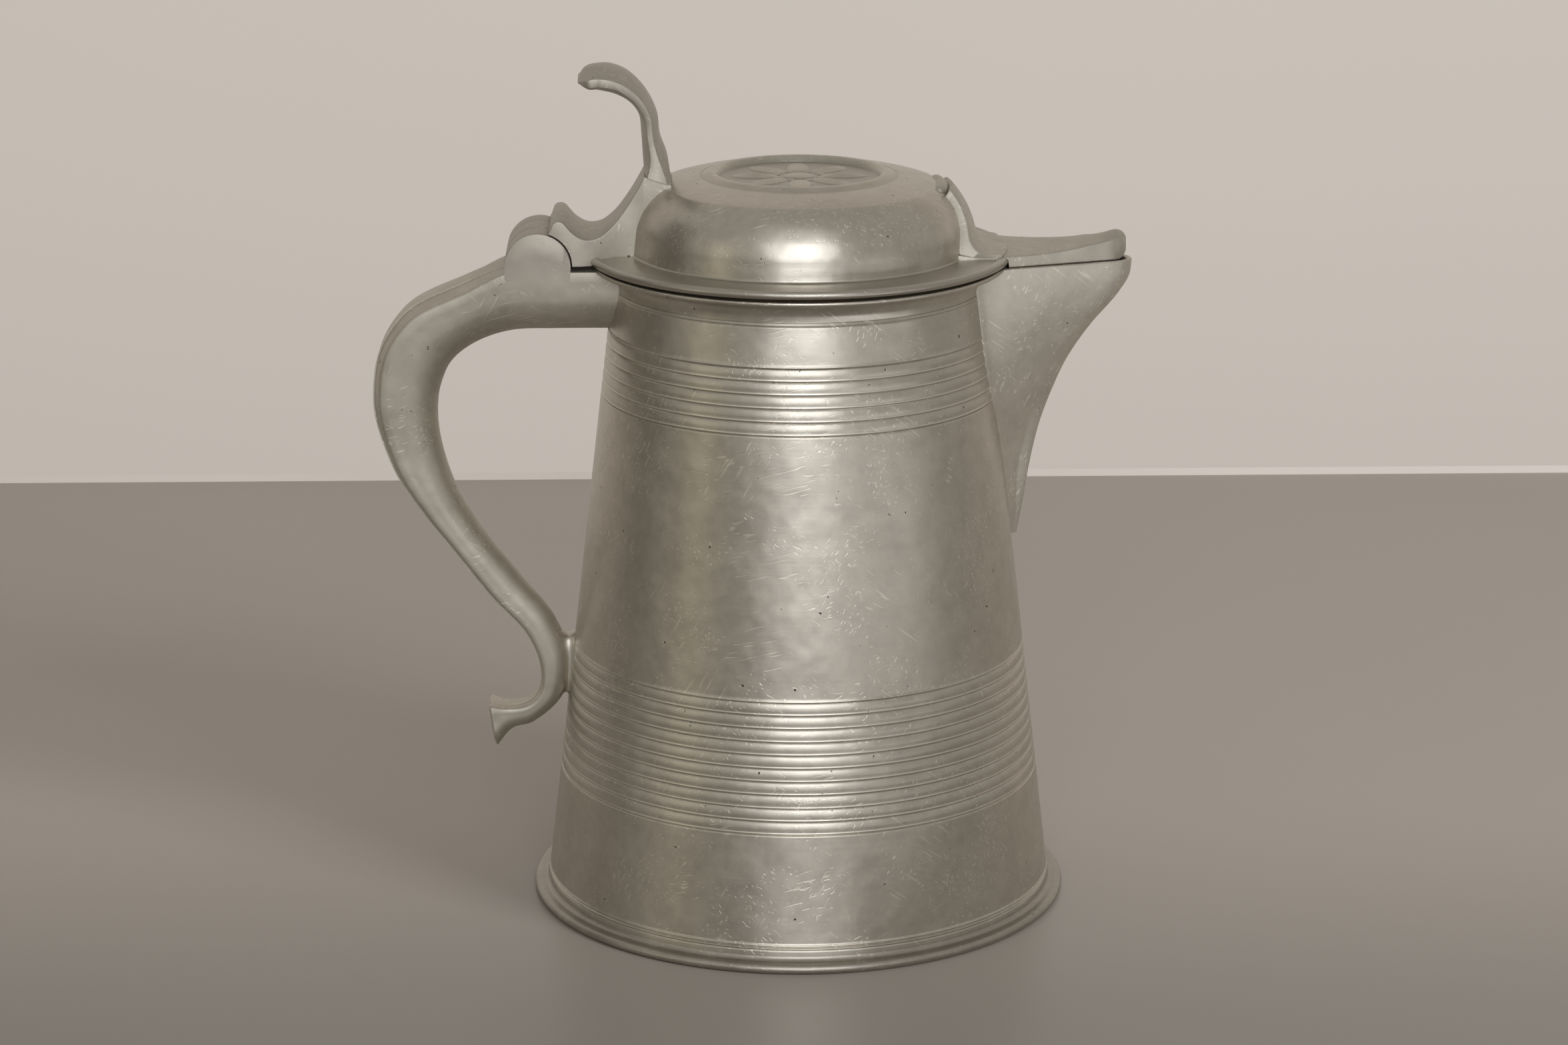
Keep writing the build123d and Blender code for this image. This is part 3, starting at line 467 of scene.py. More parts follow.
foot_wall = wall_radius(FOOT_HEIGHT)
foot_inside = foot_wall - WALL_THICKNESS
foot_outline = np.concatenate([
    [(foot_inside, FOOT_HEIGHT)],
    arc((foot_inside, 0.3), (foot_inside + 0.09, 0.09), (foot_inside + 0.3, 0.0), 5),
    arc((74.9, 0.0), (76.3, 1.35), (74.9, 2.7), 16),
    arc((73.9, 2.75), (72.75, 3.0), (foot_wall, FOOT_HEIGHT), 10)])
foot = piece("foot", "jug", [turned(foot_outline)])
# Its colour is darker than the wall's: painted shade.
foot.data.materials.append(pewter("foot_pewter", colour=(0.44, 0.415, 0.37), rough=0.42, lathe=1.0))
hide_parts("foot_ring")


# Bottom: a round plate of pewter, turned flat and hardly domed. It is let in above the table and
# soldered round its edge.
plate_outline = rounded([(0.0, FOOT_HEIGHT + 0.6), (20.0, FOOT_HEIGHT), (69.7, FOOT_HEIGHT), (69.4, 6.7),
                         (20.0, 6.7), (0.0, 7.0)], [0, 6, 0.2, 0.2, 6, 0])
turned_pewter = pewter("turned_pewter", lathe=1.0)
bottom = piece("bottom", "jug", [turned(plate_outline)])
bottom.data.materials.append(turned_pewter)
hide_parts("bottom_plate")


# Rim: a turned moulding of pewter with a shallow cove under a bead. It is soldered on the drum and
# stiffens its open top.
rim_inner = wall_radius(RIM_BASE) - WALL_THICKNESS
rim_outline = np.concatenate([
    [(wall_radius(RIM_BASE) - 0.1, RIM_BASE)],
    arc((wall_radius(178.4), 178.4), (53.2, 181.15), (57.45, 182.6), 16),
    arc((57.5, 182.6), (58.2, 183.3), (57.5, RIM_TOP), 10),
    arc((rim_inner + 0.5, RIM_TOP), (rim_inner + 0.15, RIM_TOP - 0.15), (rim_inner, RIM_TOP - 0.5), 6),
    [(rim_inner, RIM_BASE)]])
rim = piece("rim", "jug", [turned(rim_outline)])
rim.data.materials.append(turned_pewter)
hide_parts("rim_ring")


# Lid: a domed shell with a moulded flange, of pewter, cast and turned. Its top is sunk for the
# medallion, and painted shade darkens the flange.
SEAT = 184.3
DOME_LINE = np.concatenate([
    arc((46.9, 187.4), (46.72, 189.4), (46.5, 191.5), 5),
    arc((46.5, 191.5), (44.3, 199.2), (38.8, 205.2), 30)[1:],
    arc((38.8, 205.2), (33.2, 206.7), (27.6, 207.5), 16)[1:]])
lid_outer = np.concatenate([
    arc((58.8, 184.9), (59.2, 185.8), (58.8, 186.7), 9),
    arc((58.7, 186.72), (57.7, 187.0), (56.6, 186.35), 9),
    arc((56.4, 186.36), (51.7, 186.8), (47.6, 186.7), 12),
    arc((47.6, 186.7), (47.1, 186.9), (46.9, 187.4), 7),
    DOME_LINE[1:]])
lid_inner = np.concatenate([
    [(27.6, 206.4), (0.0, 206.4), (0.0, 204.6), (27.6, 204.6)],
    arc((38.0, 203.4), (42.9, 198.4), (45.1, 191.5), 16),
    [(45.1, 186.0)],
    arc((45.1, SEAT + 0.3), (45.19, SEAT + 0.09), (45.4, SEAT), 5),
    [(54.7, SEAT), (55.5, 184.9)]])
lid = piece("lid", "lid", [turned(np.concatenate([lid_outer, lid_inner]))])
# Painted shade: the flange is darker, up to the foot of the dome.
lid.data.materials.append(pewter("lid_pewter", lathe=1.0, shade_heights=(186.5, 187.8)))
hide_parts("lid_shell")


# Bezel: a turned ring of pewter, soldered under the flange. It drops inside the rim and keeps the
# lid central.
bezel_outline = rounded([(49.1, 184.6), (49.1, 179.7), (47.5, 179.7), (47.5, 184.6)], [0.1, 0.5, 0.5, 0.1])
bezel = piece("bezel", "lid", [turned(bezel_outline)])
bezel.data.materials.append(turned_pewter)
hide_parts("lid_bezel")


# Medallion: a turned ring of pewter in the lid's recess, round a cast disc with a plain rosette in
# low relief. Both are soldered in, and painted shade darkens their hollows.
ring_outline = np.concatenate([
    arc((27.8, 207.42), (26.5, 207.8), (25.4, 208.4), 10),
    arc((25.3, 208.43), (24.3, 208.7), (23.2, 208.4), 10),
    arc((23.1, 208.33), (22.45, 207.6), (22.0, 207.0), 6),
    [(22.0, 206.2), (27.8, 206.2)]])
ring = piece("medallion_moulding", "lid", [turned(ring_outline)])
# Painted shade: the ring is darker towards its low edges, and keeps its own colour on the crest.
ring.data.materials.append(pewter("ring_pewter", lathe=1.0, shade_heights=(207.1, 208.3)))
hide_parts("medallion_ring")

DISC_RADIUS = 22.1
DISC_BASE = 206.3
DISC_GROUND = 207.0
RELIEF = 0.75
PETALS = 8


def rosette(r, turn):
    """Relief from 0 to 1 at a radius and a turn: petals and a boss are half ellipsoids, each petal
    has cosine veins along it, and a small half sphere lies between each two petals."""
    step = 2 * np.pi / PETALS
    along = (r - 0.56 * DISC_RADIUS) / (0.3 * DISC_RADIUS)
    across = r * np.sin((turn + step / 2) % step - step / 2) / (0.15 * DISC_RADIUS)
    petal = np.clip(1 - along ** 2 - across ** 2, 0, 1) ** 0.5
    veins = 0.12 * np.cos(7 * np.pi * across) * np.clip(1 - along ** 2, 0, 1)
    boss = np.clip(1 - (r / (0.2 * DISC_RADIUS)) ** 2, 0, 1) ** 0.5
    aside = r * np.sin(turn % step - step / 2)
    dots = np.clip(1 - ((r - 0.3 * DISC_RADIUS) ** 2 + aside ** 2) / 1.6, 0, 1) ** 0.5
    return np.maximum(np.maximum(petal * (0.85 + veins), boss), 0.6 * dots)


disc_r = np.linspace(0, DISC_RADIUS, 90)[:, None]
disc_turn = (np.arange(512) * 2 * np.pi / 512)[None, :]
disc_face = DISC_GROUND + RELIEF * rosette(disc_r, disc_turn)
disc_top = np.stack([disc_r * np.cos(disc_turn), disc_r * np.sin(disc_turn), disc_face], axis=-1)
disc_under = disc_top[::-1].copy()
disc_under[:, :, 2] = DISC_BASE
disc = piece("medallion", "lid", [grid(np.concatenate([disc_top, disc_under]), rows_close=True)])
# Painted shade: the ground between the relief is darker.
disc.data.materials.append(pewter("medallion_pewter", rough=0.4, dents=1.3, shade_heights=(206.9, 207.5)))
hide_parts("medallion_disc")


# Handle: one pewter casting soldered to wall and rim, with two hinge ears, a fish-tail end, a crowned
# back, flat flanks and a round belly. Each row has the back's drop from the rim's top and its way out
# from the wall, the same for the belly, the half width and the crown.
HANDLE = np.array([
    (0.8, 14.0, 19.4, 14.0, 14.0, 0.05),
    (0.6, 28.6, 19.8, 26.4, 13.5, 0.3),
    (5.6, 41.8, 22.6, 35.2, 12.2, 1.9),
    (14.4, 57.4, 29.0, 42.9, 11.3, 2.1),
    (25.5, 63.2, 35.2, 45.0, 10.7, 2.2),
    (38.5, 63.5, 40.2, 45.4, 10.1, 2.2),
    (56.0, 57.6, 50.5, 43.8, 8.9, 1.9),
    (73.2, 45.7, 67.0, 36.8, 7.9, 1.6),
    (83.1, 37.1, 77.0, 29.7, 7.2, 1.4),
    (97.6, 24.4, 91.5, 17.2, 6.5, 1.2),
    (108.7, 13.5, 104.5, 5.9, 6.0, 1.0),
    (117.2, 9.2, 115.5, 0.95, 5.6, 0.9),
    (125.2, 8.7, 128.2, 2.1, 5.2, 0.8),
    (128.9, 12.0, 135.2, 9.1, 5.0, 0.7),
    (129.4, 18.6, 137.8, 15.7, 5.2, 0.7),
    (128.5, 22.0, 142.1, 18.6, 6.0, 0.6)])
PIN = np.array([-72.4, 184.7])
EAR_RADIUS = 9.2
SLOT_RADIUS = 9.6
SLOT_HALF = 5.5


def through(knots, values, places):
    """Rows of a smooth curve through the given rows: between two knots the cubic Hermite form with
    the mean slope at each knot."""
    slopes = np.gradient(values, knots, axis=0)
    k = np.clip(np.searchsorted(knots, places, side="right") - 1, 0, len(knots) - 2)
    span = (knots[k + 1] - knots[k])[:, None]
    t = (places - knots[k])[:, None] / span
    return (values[k] * (1 + 2 * t) * (1 - t) ** 2 + span * slopes[k] * t * (1 - t) ** 2
            + values[k + 1] * t * t * (3 - 2 * t) + span * slopes[k + 1] * t * t * (t - 1))


def mirrored(half_rows, sign):
    """Rows that go on through the same values backwards, times the sign, without the two ends."""
    return np.concatenate([half_rows, sign * half_rows[:, -2:0:-1]], axis=1)


def lengths_along(line):
    """Distance of each point of a line from its start."""
    return np.concatenate([[0], np.cumsum(np.linalg.norm(np.diff(line, axis=0), axis=1))])


back_z = RIM_TOP - HANDLE[:, 0]
belly_z = RIM_TOP - HANDLE[:, 2]
rows = np.column_stack([-wall_radius(back_z) - HANDLE[:, 1], back_z, -wall_radius(belly_z) - HANDLE[:, 3],
                        belly_z, HANDLE[:, 4], HANDLE[:, 5]])
root = rows[0] + [15.4, 0, 15.4, 0, 0, 0]
rows = np.vstack([root, rows])
knots = lengths_along((rows[:, 0:2] + rows[:, 2:4]) / 2)
fine = np.linspace(knots[0], knots[4], 400)
fine_x = through(knots, rows, fine)[:, 0]
hump_x = PIN[0] + SLOT_RADIUS * np.cos(np.linspace(0, np.pi, 49))
hump_x = np.concatenate([hump_x, PIN[0] + EAR_RADIUS * np.cos(np.linspace(0, np.pi, 25))])
hump = np.interp(-hump_x, -fine_x, fine)
places = np.unique(np.round(np.concatenate([np.linspace(knots[0], knots[-1], 220), hump]), 4))
sections = through(knots, rows, places)


def handle_rings(sections, edge=0.55):
    """Rings of points for sections of back point, belly point, half width and crown: a back that
    falls as crown y^2, or over the pin the ears' circle and the slot's floor, then a rounded edge, a
    flat flank that leans in a little, and a belly that is an arc. Heights t run from belly to back."""
    back, belly, half, crown = sections[:, 0:2], sections[:, 2:4], sections[:, 4], sections[:, 5]
    up = back - belly
    depth = np.linalg.norm(up, axis=1)
    up = up / depth[:, None]
    to_pin = PIN - belly
    above = (to_pin * up).sum(axis=1)
    aside = (to_pin ** 2).sum(axis=1) - above ** 2
    ear_reach = np.sqrt(np.clip(EAR_RADIUS ** 2 - aside, 0, None))
    slot_reach = np.sqrt(np.clip(SLOT_RADIUS ** 2 - aside, 0, None))
    ear = np.where(ear_reach > 0, above + ear_reach, -100)
    slot = np.where(slot_reach > 0, above - slot_reach, 1000)
    cheek = np.minimum(SLOT_HALF, 0.5 * half)

    def back_at(y):
        return np.maximum(depth - crown * (y / half) ** 2, ear)

    floor = np.minimum(depth, slot)
    corner = np.minimum(0.45, (back_at(cheek) - floor) / 3)
    columns = [(0 * half, floor), (0.5 * cheek, floor), (cheek, floor),
               (cheek, back_at(cheek) - corner), (cheek + 0.3 * corner, back_at(cheek) - 0.3 * corner),
               (cheek + corner, back_at(cheek + corner))]
    for share in (0.15, 0.35, 0.6, 0.85, 1.0):
        y = cheek + corner + share * (half - edge - cheek - corner)
        columns.append((y, back_at(y)))
    top_edge = back_at(half)
    columns += [(half - 0.3 * edge, top_edge - 0.3 * edge), (half, top_edge - edge)]
    flank = 0.55 * (depth - crown)
    for share in (0.33, 0.66, 1.0):
        t = top_edge - edge + share * (flank - top_edge + edge)
        lean = np.clip((depth - crown - t) / (depth - crown - flank), 0, 1)
        columns.append((half * (1 - 0.04 * lean), t))
    chord = 0.96 * half
    radius = (chord ** 2 + flank ** 2) / (2 * flank)
    swing = np.arctan2(chord, radius - flank)
    for share in np.linspace(0, 1, 12)[1:]:
        angle = swing * (1 - share)
        columns.append((radius * np.sin(angle), radius * (1 - np.cos(angle))))
    y = mirrored(np.stack([c[0] for c in columns], axis=1), -1)
    t = mirrored(np.stack([c[1] for c in columns], axis=1), 1)
    return np.stack([belly[:, :1] + up[:, :1] * t, y, belly[:, 1:] + up[:, 1:] * t], axis=-1)


rings = handle_rings(sections)
rings[0, :, 0] = -np.sqrt((wall_radius(rings[0, :, 2]) - 1.2) ** 2 - rings[0, :, 1] ** 2)


def capped(rings, bulge=0.6, shrink=(0.04, 0.12, 0.3, 1.0)):
    """Rings with both ends closed: further rings shrink to the end ring's middle, the last few moved
    on by the bulge to round the edge."""
    middle = rings[-1].mean(axis=0)
    onward = middle - rings[-2].mean(axis=0)
    onward = onward / np.linalg.norm(onward)
    far = [middle + (rings[-1] - middle) * (1 - s) + onward * bulge * min(1.0, (s / 0.12) ** 0.5)
           for s in shrink]
    near = [rings[0].mean(axis=0) + 0 * rings[0]]
    return np.concatenate([near, rings, far])


handle = piece("handle_casting", "jug", [grid(capped(rings))], sharp=32.0)
# Painted light and shade: the colour is lighter than the other pewter's, and darker over the ears at the
# top.
handle.data.materials.append(
    pewter("handle_pewter", colour=(0.63, 0.595, 0.53), rough=0.57, dents=1.2, shade_heights=(187, 176)))
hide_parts("handle")


# Strut: solder that fills the narrow gap between the handle's lower bend and the wall, hollow at
# its top and bottom where it was wiped.
STRUT_MIDDLE = 66.4


def strut_rings(rows=17, columns=48):
    """Rings of points from the handle to the wall: each is a superellipse with powers of 4, and
    pinched by 4 s (1 - s) at the share s of the way."""
    s = np.linspace(0, 1, rows)[:, None]
    turn = (np.arange(columns) * 2 * np.pi / columns)[None, :]
    pinch = 4 * s * (1 - s)
    y = (4.6 - 0.8 * pinch) * np.sign(np.cos(turn)) * np.abs(np.cos(turn)) ** 0.5
    z = STRUT_MIDDLE + (11.0 - 2.4 * pinch) * np.sign(np.sin(turn)) * np.abs(np.sin(turn)) ** 0.5
    wall_side = -np.sqrt((wall_radius(z) - 0.8) ** 2 - y ** 2)
    bar_z = np.array([50.0, 55.8, 60.0, 68.5, 75.0, 79.5, 85.0])
    bar_x = -wall_radius(bar_z) - np.array([8.0, 3.2, 1.6, 2.2, 4.4, 7.2, 11.0])
    handle_side = np.interp(z, bar_z, bar_x)
    return np.stack([handle_side + (wall_side - handle_side) * s, y, z], axis=-1)


strut = piece("handle_solder", "jug", [grid(capped(strut_rings(), bulge=0.0, shrink=(1.0,)))])
solder = pewter("solder", colour=(0.60, 0.56, 0.50), rough=0.42, dents=1.6)
strut.data.materials.append(solder)
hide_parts("handle_strut")


# Pin: a plain metal pin through ears and knuckle, filed flush and burnished over, so that its ends
# don't show on the ears.
def about_pin(y, radius, columns):
    """Circles about the pin's line: one at each place y along it, with the radius there."""
    turn = (np.arange(columns) * 2 * np.pi / columns)[None, :]
    y, radius = np.array(y)[:, None], np.array(radius)[:, None]
    return np.stack([PIN[0] + radius * np.cos(turn), y + 0 * turn, PIN[1] + radius * np.sin(turn)], axis=-1)


pin_rings = about_pin([-13.3, -13.25, -13.1, 13.1, 13.25, 13.3], [1.5, 1.85, 2.0, 2.0, 1.85, 1.5], 48)
pin = piece("pin", "jug", [grid(capped(pin_rings, bulge=0.0, shrink=(1.0,)))])
pin.data.materials.append(pewter("pin_metal", colour=(0.52, 0.50, 0.46), rough=0.4))
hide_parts("hinge_pin")


# Hinge strap: a pewter casting soldered to the dome and flange, with the middle knuckle of the hinge
# and a lip that comes down on the ears when the lid is open.
KNUCKLE_HALF = 5.2
KNUCKLE_CLEAR = 8.4        # from the pin to the strap's floor over the knuckle
STRAP_TOP = np.array([-42.9, 209.0])
STRAP_TOE = np.array([-35.5, 206.6])
STRAP_LIP = np.concatenate([
    [(-69.35, 193.80), (-68.9, 195.2), (-68.34, 196.84)],
    arc((-68.3, 196.95), (-66.4, 198.1), (-64.5, 197.0), 12)])
STRAP_SLOPE = np.array([(-64.5, 197.0), (-62.2, 194.6), (-58.8, 193.0), (-55.5, 193.4), (-51.6, 196.3),
                        (-47.8, 201.0), (-44.3, 206.5), STRAP_TOP])


def strap_floor(x, y):
    """Underside of the strap over the plan: hollow round the ears, flat over the handle, and from
    the flange's edge inwards just under the skin of the flange and dome."""
    hollow = np.sqrt(np.clip(SLOT_RADIUS ** 2 - (x - PIN[0]) ** 2, 0, None))
    inner = np.sqrt(np.clip(KNUCKLE_CLEAR ** 2 - (x - PIN[0]) ** 2, 0, None))
    floor = np.maximum(183.55, PIN[1] + np.where(y < KNUCKLE_HALF + 0.05, inner, hollow))
    r = np.hypot(x, y)
    skin = np.interp(r, DOME_LINE[::-1, 0], DOME_LINE[::-1, 1]) - 0.9
    return np.where(r < 46.2, skin, np.where(r < 58.7, 186.0, floor))


slope_knots = lengths_along(STRAP_SLOPE)
slope = through(slope_knots, STRAP_SLOPE, np.linspace(0, slope_knots[-1], 60))
foot_line = STRAP_TOP + (STRAP_TOE - STRAP_TOP) * np.linspace(0, 1, 14)[1:, None]
top_line = np.concatenate([STRAP_LIP[:1], STRAP_LIP, slope[1:], foot_line])
top_x, top_z = top_line.T
taper = np.clip((top_x + 63.0) / 18.5, 0, 1)
half = 14.0 - 4.0 * taper ** 2 * (3 - 2 * taper)
sag = np.interp(top_x, [-69.4, -66, -60, -52, -44, -42.9, -42.8], [0.5, 0.9, 1.2, 1.0, 0.3, 0.1, 0.0])
edge = np.full(len(top_x), 0.7)
edge = np.where(top_x > -42.95, 0.3, edge)
strap_y, strap_z = [], []
for share in (0.0, 0.2, 0.4, 0.6, 0.8, 0.92):
    strap_y.append(share * (half - edge))
    strap_z.append(top_z + sag * (0.3 - share ** 2))
for bite_y, bite_z in ((1.0, 0.0), (0.62, 0.08), (0.3, 0.3), (0.08, 0.62), (0.0, 1.0)):
    strap_y.append(half - bite_y * edge)
    strap_z.append(top_z - 0.7 * sag - bite_z * edge)
above = len(strap_y)
for y in (half, 0.999 * half, 0.75 * half, KNUCKLE_HALF + 0.1 + 0 * half, KNUCKLE_HALF + 0 * half,
          KNUCKLE_HALF / 2 + 0 * half, 0 * half):
    strap_y.append(np.minimum(y, half))
    strap_z.append(strap_floor(top_x, np.minimum(y, half)))
strap_y = np.stack(strap_y, axis=1)
strap_z = np.stack(strap_z, axis=1)
strap_z[:, :above] = np.maximum(strap_z[:, :above], strap_z[:, above:above + 1] + 0.01)
strap_z[:, above:] = np.minimum(strap_z[:, above:], strap_z[:, above - 1:above])
strap_z[0] = strap_z[1, above - 1]
strap_y, strap_z = mirrored(strap_y, -1), mirrored(strap_z, 1)
strap_points = np.stack([top_x[:, None] + 0 * strap_y, strap_y, strap_z], axis=-1)
knuckle = about_pin([-5.2, -5.2, -5.05, -4.7, 0, 4.7, 5.05, 5.2, 5.2],
                    [2.2, 8.7, 9.05, 9.2, 9.2, 9.2, 9.05, 8.7, 2.2], 96)
strap = piece("lid_strap", "lid", [grid(capped(strap_points, bulge=0.0, shrink=(1.0,))),
                                   grid(knuckle, rows_close=True)])
# Painted shade: strap and thumbpiece are darker than the other pewter.
lever_pewter = pewter("lever_pewter", colour=(0.52, 0.49, 0.435), rough=0.57, dents=1.2)
strap.data.materials.append(lever_pewter)
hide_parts("hinge_strap")


# Thumbpiece: a cast lever of pewter, soldered upright on the strap. It curls back over the handle,
# bulged on both faces and thin at its edges. Each row has the inner and the outer point of its middle,
# from the strap's upper end, the half width and the edge's thickness.
THUMB = np.array([
    (0.0, 0.0, 7.4, -2.4, 10.0, 6.4),
    (-0.3, 3.6, 6.4, 4.4, 9.6, 2.8),
    (-0.7, 10.2, 4.4, 10.4, 9.3, 1.7),
    (-1.3, 15.8, 3.5, 16.8, 9.8, 1.8),
    (-3.2, 18.9, 0.6, 22.6, 10.6, 2.0),
    (-7.4, 21.6, -5.6, 28.4, 11.8, 2.3),
    (-12.5, 23.0, -12.2, 29.6, 12.2, 2.5),
    (-15.8, 23.7, -16.8, 27.9, 10.8, 1.8),
    (-17.4, 25.1, -17.7, 26.3, 8.0, 0.6)])
thumb_rows = THUMB + np.concatenate([STRAP_TOP, STRAP_TOP, [0, 0]])
thumb_knots = lengths_along((thumb_rows[:, 0:2] + thumb_rows[:, 2:4]) / 2)
thumb_sections = through(thumb_knots, thumb_rows, np.linspace(0, thumb_knots[-1], 130))


def thumb_rings(sections):
    """Rings of points for sections of inner point, outer point, half width and edge thickness: each
    face bulges as 1 - y^2 between the edges, which are half round."""
    inner, outer, half, edge = sections[:, 0:2], sections[:, 2:4], sections[:, 4:5], sections[:, 5:6]
    across = outer - inner
    thick = np.linalg.norm(across, axis=1)[:, None]
    across = across / thick
    edge = np.minimum(edge, 0.9 * thick)
    low = (thick - edge) / 2
    share = np.linspace(-1, 1, 25)[None, :]
    face_y = half * np.sin(share * np.pi / 2)
    drop = np.sin(share * np.pi / 2) ** 2
    face_in = low * drop
    face_out = thick - low * drop
    lip = np.linspace(0, np.pi, 7)[None, 1:-1]
    round_t = thick / 2 - edge / 2 * np.cos(lip)
    round_y = half + 0.16 * edge * np.sin(lip) ** 0.6
    y = np.concatenate([face_y, round_y, face_y[:, ::-1], -round_y], axis=1)
    t = np.concatenate([face_in, round_t, face_out, thick - round_t], axis=1)
    return np.stack([inner[:, :1] + across[:, :1] * t, y, inner[:, 1:] + across[:, 1:] * t], axis=-1)


thumb = piece("thumb_lever", "lid", [grid(capped(thumb_rings(thumb_sections), bulge=0.3))], sharp=40.0)
thumb.data.materials.append(lever_pewter)
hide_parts("thumbpiece")


# Spout: a beak bent up from pewter sheet and soldered over the opening, with a bead of solder along
# the joint and a rounded keel. Stand, root and nose are the reach from the wall, the half width there
# and the half width before the keel, at each drop from the spout's top.
SPOUT_STANDS = (41.9, 40.6, 37.0, 28.4, 21.3, 15.6, 11.4, 7.6, 4.3, 1.5)
SPOUT_NOSES = (5.4, 5.3, 5.2, 5.1, 4.7, 4.0, 3.0, 2.2, 1.5, 0.7)
SPOUT_SHEET = 1.6
spout_table = np.column_stack([SPOUT_STANDS, SPOUT_ROOTS, SPOUT_NOSES])
drops = np.concatenate([[0.0, 0.35], np.linspace(1, 58, 70), [58.05], np.linspace(60, 79.6, 24)])
stand, root_half, nose_half = through(np.array(SPOUT_DROPS, dtype=float), spout_table, drops).T


def spout_half(drop, stand, root, nose, inset):
    """Level cuts through the spout: a straight flank from the wall to a nose that is a parabola, all
    set in by the sheet's thickness where inset is above 0, and where it is 0 with solder that swells
    the flank's root as exp(-reach)."""
    z = SPOUT_TOP - drop
    radius = wall_radius(z)
    nose_length = np.minimum(3.4, 0.5 * stand) * (0.7 if inset else 1.0)
    root = root - 1.2 * inset
    nose = nose - 0.8 * inset
    keel = radius + stand - inset
    start = np.sqrt(radius ** 2 - root ** 2) - 0.6
    nose_start = keel - nose_length
    share = np.linspace(0, 1, 22)[None, :] ** 1.6
    flank_x = start[:, None] + (nose_start - start)[:, None] * share
    flank_y = root[:, None] + (nose - root)[:, None] * share
    if not inset:
        reach = flank_x - np.sqrt(np.clip(radius[:, None] ** 2 - flank_y ** 2, 0, None))
        swell = 0.9 * np.minimum(1, 0.1 + stand[:, None] / 12)
        flank_y = flank_y + swell * np.exp(-np.clip(reach, 0, None) / 0.9)
    u = np.linspace(0, 1, 12)[None, 1:]
    tip_x = nose_start[:, None] + nose_length[:, None] * (1 - (1 - u) ** 2)
    tip_y = nose[:, None] * (1 - u)
    x = np.concatenate([flank_x, tip_x, tip_x[:, -2::-1], flank_x[:, ::-1]], axis=1)
    y = np.concatenate([flank_y, tip_y, -tip_y[:, -2::-1], -flank_y[:, ::-1]], axis=1)
    return np.stack([x, y, z[:, None] + 0 * x], axis=-1)


outside = spout_half(drops, stand, root_half, nose_half, 0.0)
inside = spout_half(drops, stand, np.maximum(root_half, 3.2), np.maximum(nose_half, 1.9), SPOUT_SHEET)
solid = drops > 58
closed_x = np.sqrt(wall_radius(SPOUT_TOP - drops)[:, None] ** 2 - outside[:, :, 1] ** 2) - 0.7
against_wall = np.stack([closed_x, outside[:, :, 1], outside[:, :, 2]], axis=-1)
inside[solid] = against_wall[solid]
lip = 0.25 * (inside[0] - outside[0])
outside[0] = outside[0] + lip
inside[0] = inside[0] - lip
spout_rings = np.concatenate([outside, inside[:, ::-1]], axis=1)
count = outside.shape[1]
low_end = spout_rings[-1:].mean(axis=1, keepdims=True) + 0 * spout_rings[-1:]
spout_shell = grid(np.concatenate([spout_rings, low_end]))
lip_index = np.arange(count - 1)
lip_quads = np.column_stack([lip_index, lip_index + 1, 2 * count - 2 - lip_index, 2 * count - 1 - lip_index])
spout_shell = (spout_shell[0], np.concatenate([spout_shell[1], lip_quads]))
spout = piece("beak", "jug", [spout_shell], sharp=45.0)
# Painted light: the beak's colour is lighter than the other pewter's.
spout.data.materials.append(pewter("beak_pewter", colour=(0.70, 0.665, 0.60), rough=0.55, dents=1.2))
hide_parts("spout")


# Spout cover: a cast wedge plate of pewter, soldered to the flange, with an upturned tip like a knob.
# It lies just above the spout's edge.
COVER_UNDER = 184.0
COVER_TIP = 91.36
cover_reach = np.concatenate([np.linspace(46.2, 59.0, 16), [59.2, 59.5], np.linspace(60.2, 86, 40),
                              COVER_TIP - 5.36 * (1 - np.sin(np.linspace(0, np.pi / 2, 18)[1:]))])
cover_line = np.concatenate([
    arc((47.0, 188.5), (66.0, 187.4), (77.4, 188.5), 20),
    arc((77.5, 188.52), (82.4, 189.7), (87.4, 191.4), 10)[1:],
    arc((87.4, 191.4), (90.3, 191.0), (91.36, 188.7), 10)[1:]])
cover_top = np.interp(cover_reach, cover_line[:, 0], cover_line[:, 1])
curl = np.clip((75 - cover_reach) / 14, 0, 1)
half = np.full(len(cover_reach), 15.0)
for _ in range(20):
    side_x = np.sqrt(cover_reach ** 2 - curl * half ** 2)
    half = 0.5 * half + 0.5 * np.interp(side_x, [47.97, 88.36], [18.0, 5.4])
tip = np.clip((cover_reach - 84.8) / (COVER_TIP + 0.01 - 84.8), 0, 1)
half = half * (1 - tip ** 2.6) ** 0.5
under = np.where(cover_reach < 59.25, 186.0, COVER_UNDER)
under = np.where(cover_reach > 88.6, COVER_UNDER + 1.9 * ((cover_reach - 88.6) / 2.76) ** 2, under)
edge = np.minimum(np.interp(cover_reach, [70, 80, 88], [0.6, 0.8, 1.9]), 0.45 * half)
cover_columns = []
for share in np.linspace(0, 1, 9):
    y = share * (half - edge)
    cover_columns.append((y, cover_top - (0.35 + 0.9 * np.clip((cover_reach - 80) / 8, 0, 1)) * share ** 2))
edge_z = cover_columns[-1][1]
cover_columns += [(half - 0.3 * edge, edge_z - 0.3 * edge), (half, edge_z - edge), (half, under + 0.3),
                  (half - 0.3, under), (0.5 * half, under), (0 * half, under)]
cy = np.stack([c[0] for c in cover_columns], axis=1)
cz = np.stack([np.maximum(c[1], under) for c in cover_columns], axis=1)
cy, cz = mirrored(cy, -1), mirrored(cz, 1)
cx = np.sqrt(np.clip(cover_reach[:, None] ** 2 - curl[:, None] * cy ** 2, 0, None))
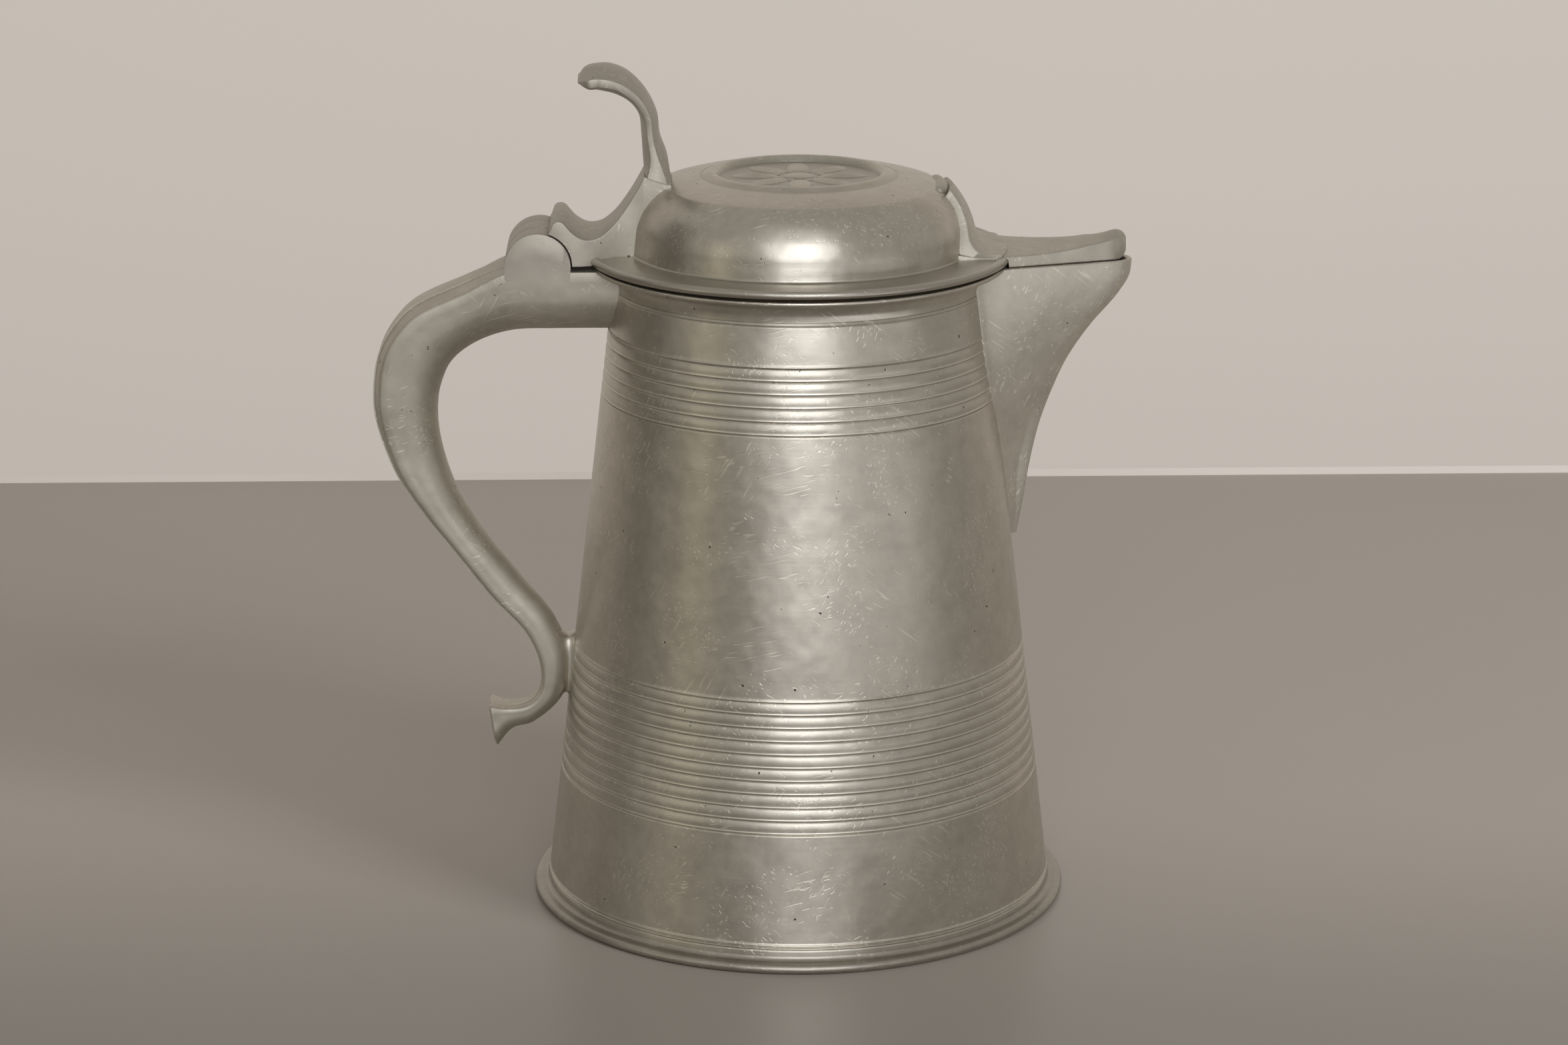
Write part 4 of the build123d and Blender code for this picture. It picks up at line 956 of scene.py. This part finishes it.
cover_points = np.stack([cx, cy, cz], axis=-1)
cover = piece("beak_cover", "lid", [grid(capped(cover_points, bulge=0.0, shrink=(1.0,)))], sharp=40.0)
cast_pewter = pewter("cast_pewter", rough=0.57, dents=1.2)
cover.data.materials.append(cast_pewter)
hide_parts("spout_cover")


# Cover strap: a fan-shaped strap of pewter, soldered up the dome, that ties the cover to the lid. It
# has a rolled bead at its upper end.
skin_line = np.concatenate([
    [(57.9, 186.2), (57.9, 187.65), (57.6, 187.75)], arc((54.6, 188.05), (50.7, 190.2), (48.8, 193.9), 14),
    arc((48.8, 193.9), (46.5, 199.7), (40.0, 207.5), 16)[1:]])
t = np.linspace(0, 1, 70)
skin_walk = lengths_along(skin_line)
skin_r = np.interp(t * skin_walk[-1], skin_walk, skin_line[:, 0])
skin_z = np.interp(t * skin_walk[-1], skin_walk, skin_line[:, 1])
skin_r, skin_z = np.append(skin_r, [57.9, 57.6]), np.append(skin_z, [187.65, 187.75])
order = np.argsort(-skin_r + 0.001 * skin_z)
skin_r, skin_z = skin_r[order], skin_z[order]
on_dome = np.clip((57.9 - skin_r) / 8.2, 0, 1)
dome_z = np.clip(skin_z - 2.2, 186.9, 204.6)
base_z = 186.1 + on_dome * (dome_z - 186.1)
base_r = np.where(skin_r < 49.7, np.interp(dome_z, DOME_LINE[:, 1], DOME_LINE[:, 0]) - 0.7,
                  46.1 + (skin_r - 49.7) * 11.6 / 8.2)
half = np.full(len(skin_z), 15.0)
for _ in range(20):
    plate_half = np.interp(np.sqrt(skin_r ** 2 - half ** 2), [47.97, 88.36], [18.05, 5.45])
    half = 0.5 * half + 0.5 * np.minimum(plate_half, 18.0 - 8.0 * np.clip((skin_z - 188.4) / 15.7, 0, 1))
fan_columns = []
for share in np.linspace(0, 1, 9):
    y = share * (half - 0.6)
    fan_columns.append((y, skin_r, skin_z))
fan_columns += [(half - 0.2, skin_r - 0.15, skin_z - 0.05), (half, skin_r - 0.5, skin_z - 0.2),
                (half, base_r, base_z), (0.5 * half, base_r, base_z), (0 * half, base_r, base_z)]
fy = np.stack([c[0] for c in fan_columns], axis=1)
fr = np.stack([c[1] for c in fan_columns], axis=1)
fz = np.stack([c[2] for c in fan_columns], axis=1)
fy, fr, fz = mirrored(fy, -1), mirrored(fr, 1), mirrored(fz, 1)
fan = np.stack([np.sqrt(np.clip(fr ** 2 - fy ** 2, 0, None)), fy, fz], axis=-1)
fan = fan[skin_z < 204.9]
bead_y = 10.0 * np.sin(np.linspace(-np.pi / 2, np.pi / 2, 25))[:, None]
bead_r = 1.9 * np.sqrt(np.clip(1 - (bead_y / 10.0) ** 8, 0, 1))
bead_turn = (np.arange(32) * 2 * np.pi / 32)[None, :]
bead_x = np.sqrt(39.8 ** 2 - bead_y ** 2) - 0.4
bead = np.stack([bead_x + bead_r * np.cos(bead_turn), bead_y + 0 * bead_turn,
                 204.1 + bead_r * np.sin(bead_turn)], axis=-1)
fan_strap = piece("beak_strap", "lid", [grid(capped(fan, bulge=0.0, shrink=(1.0,))), grid(bead)], sharp=45.0)
fan_strap.data.materials.append(cast_pewter)
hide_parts("cover_strap")
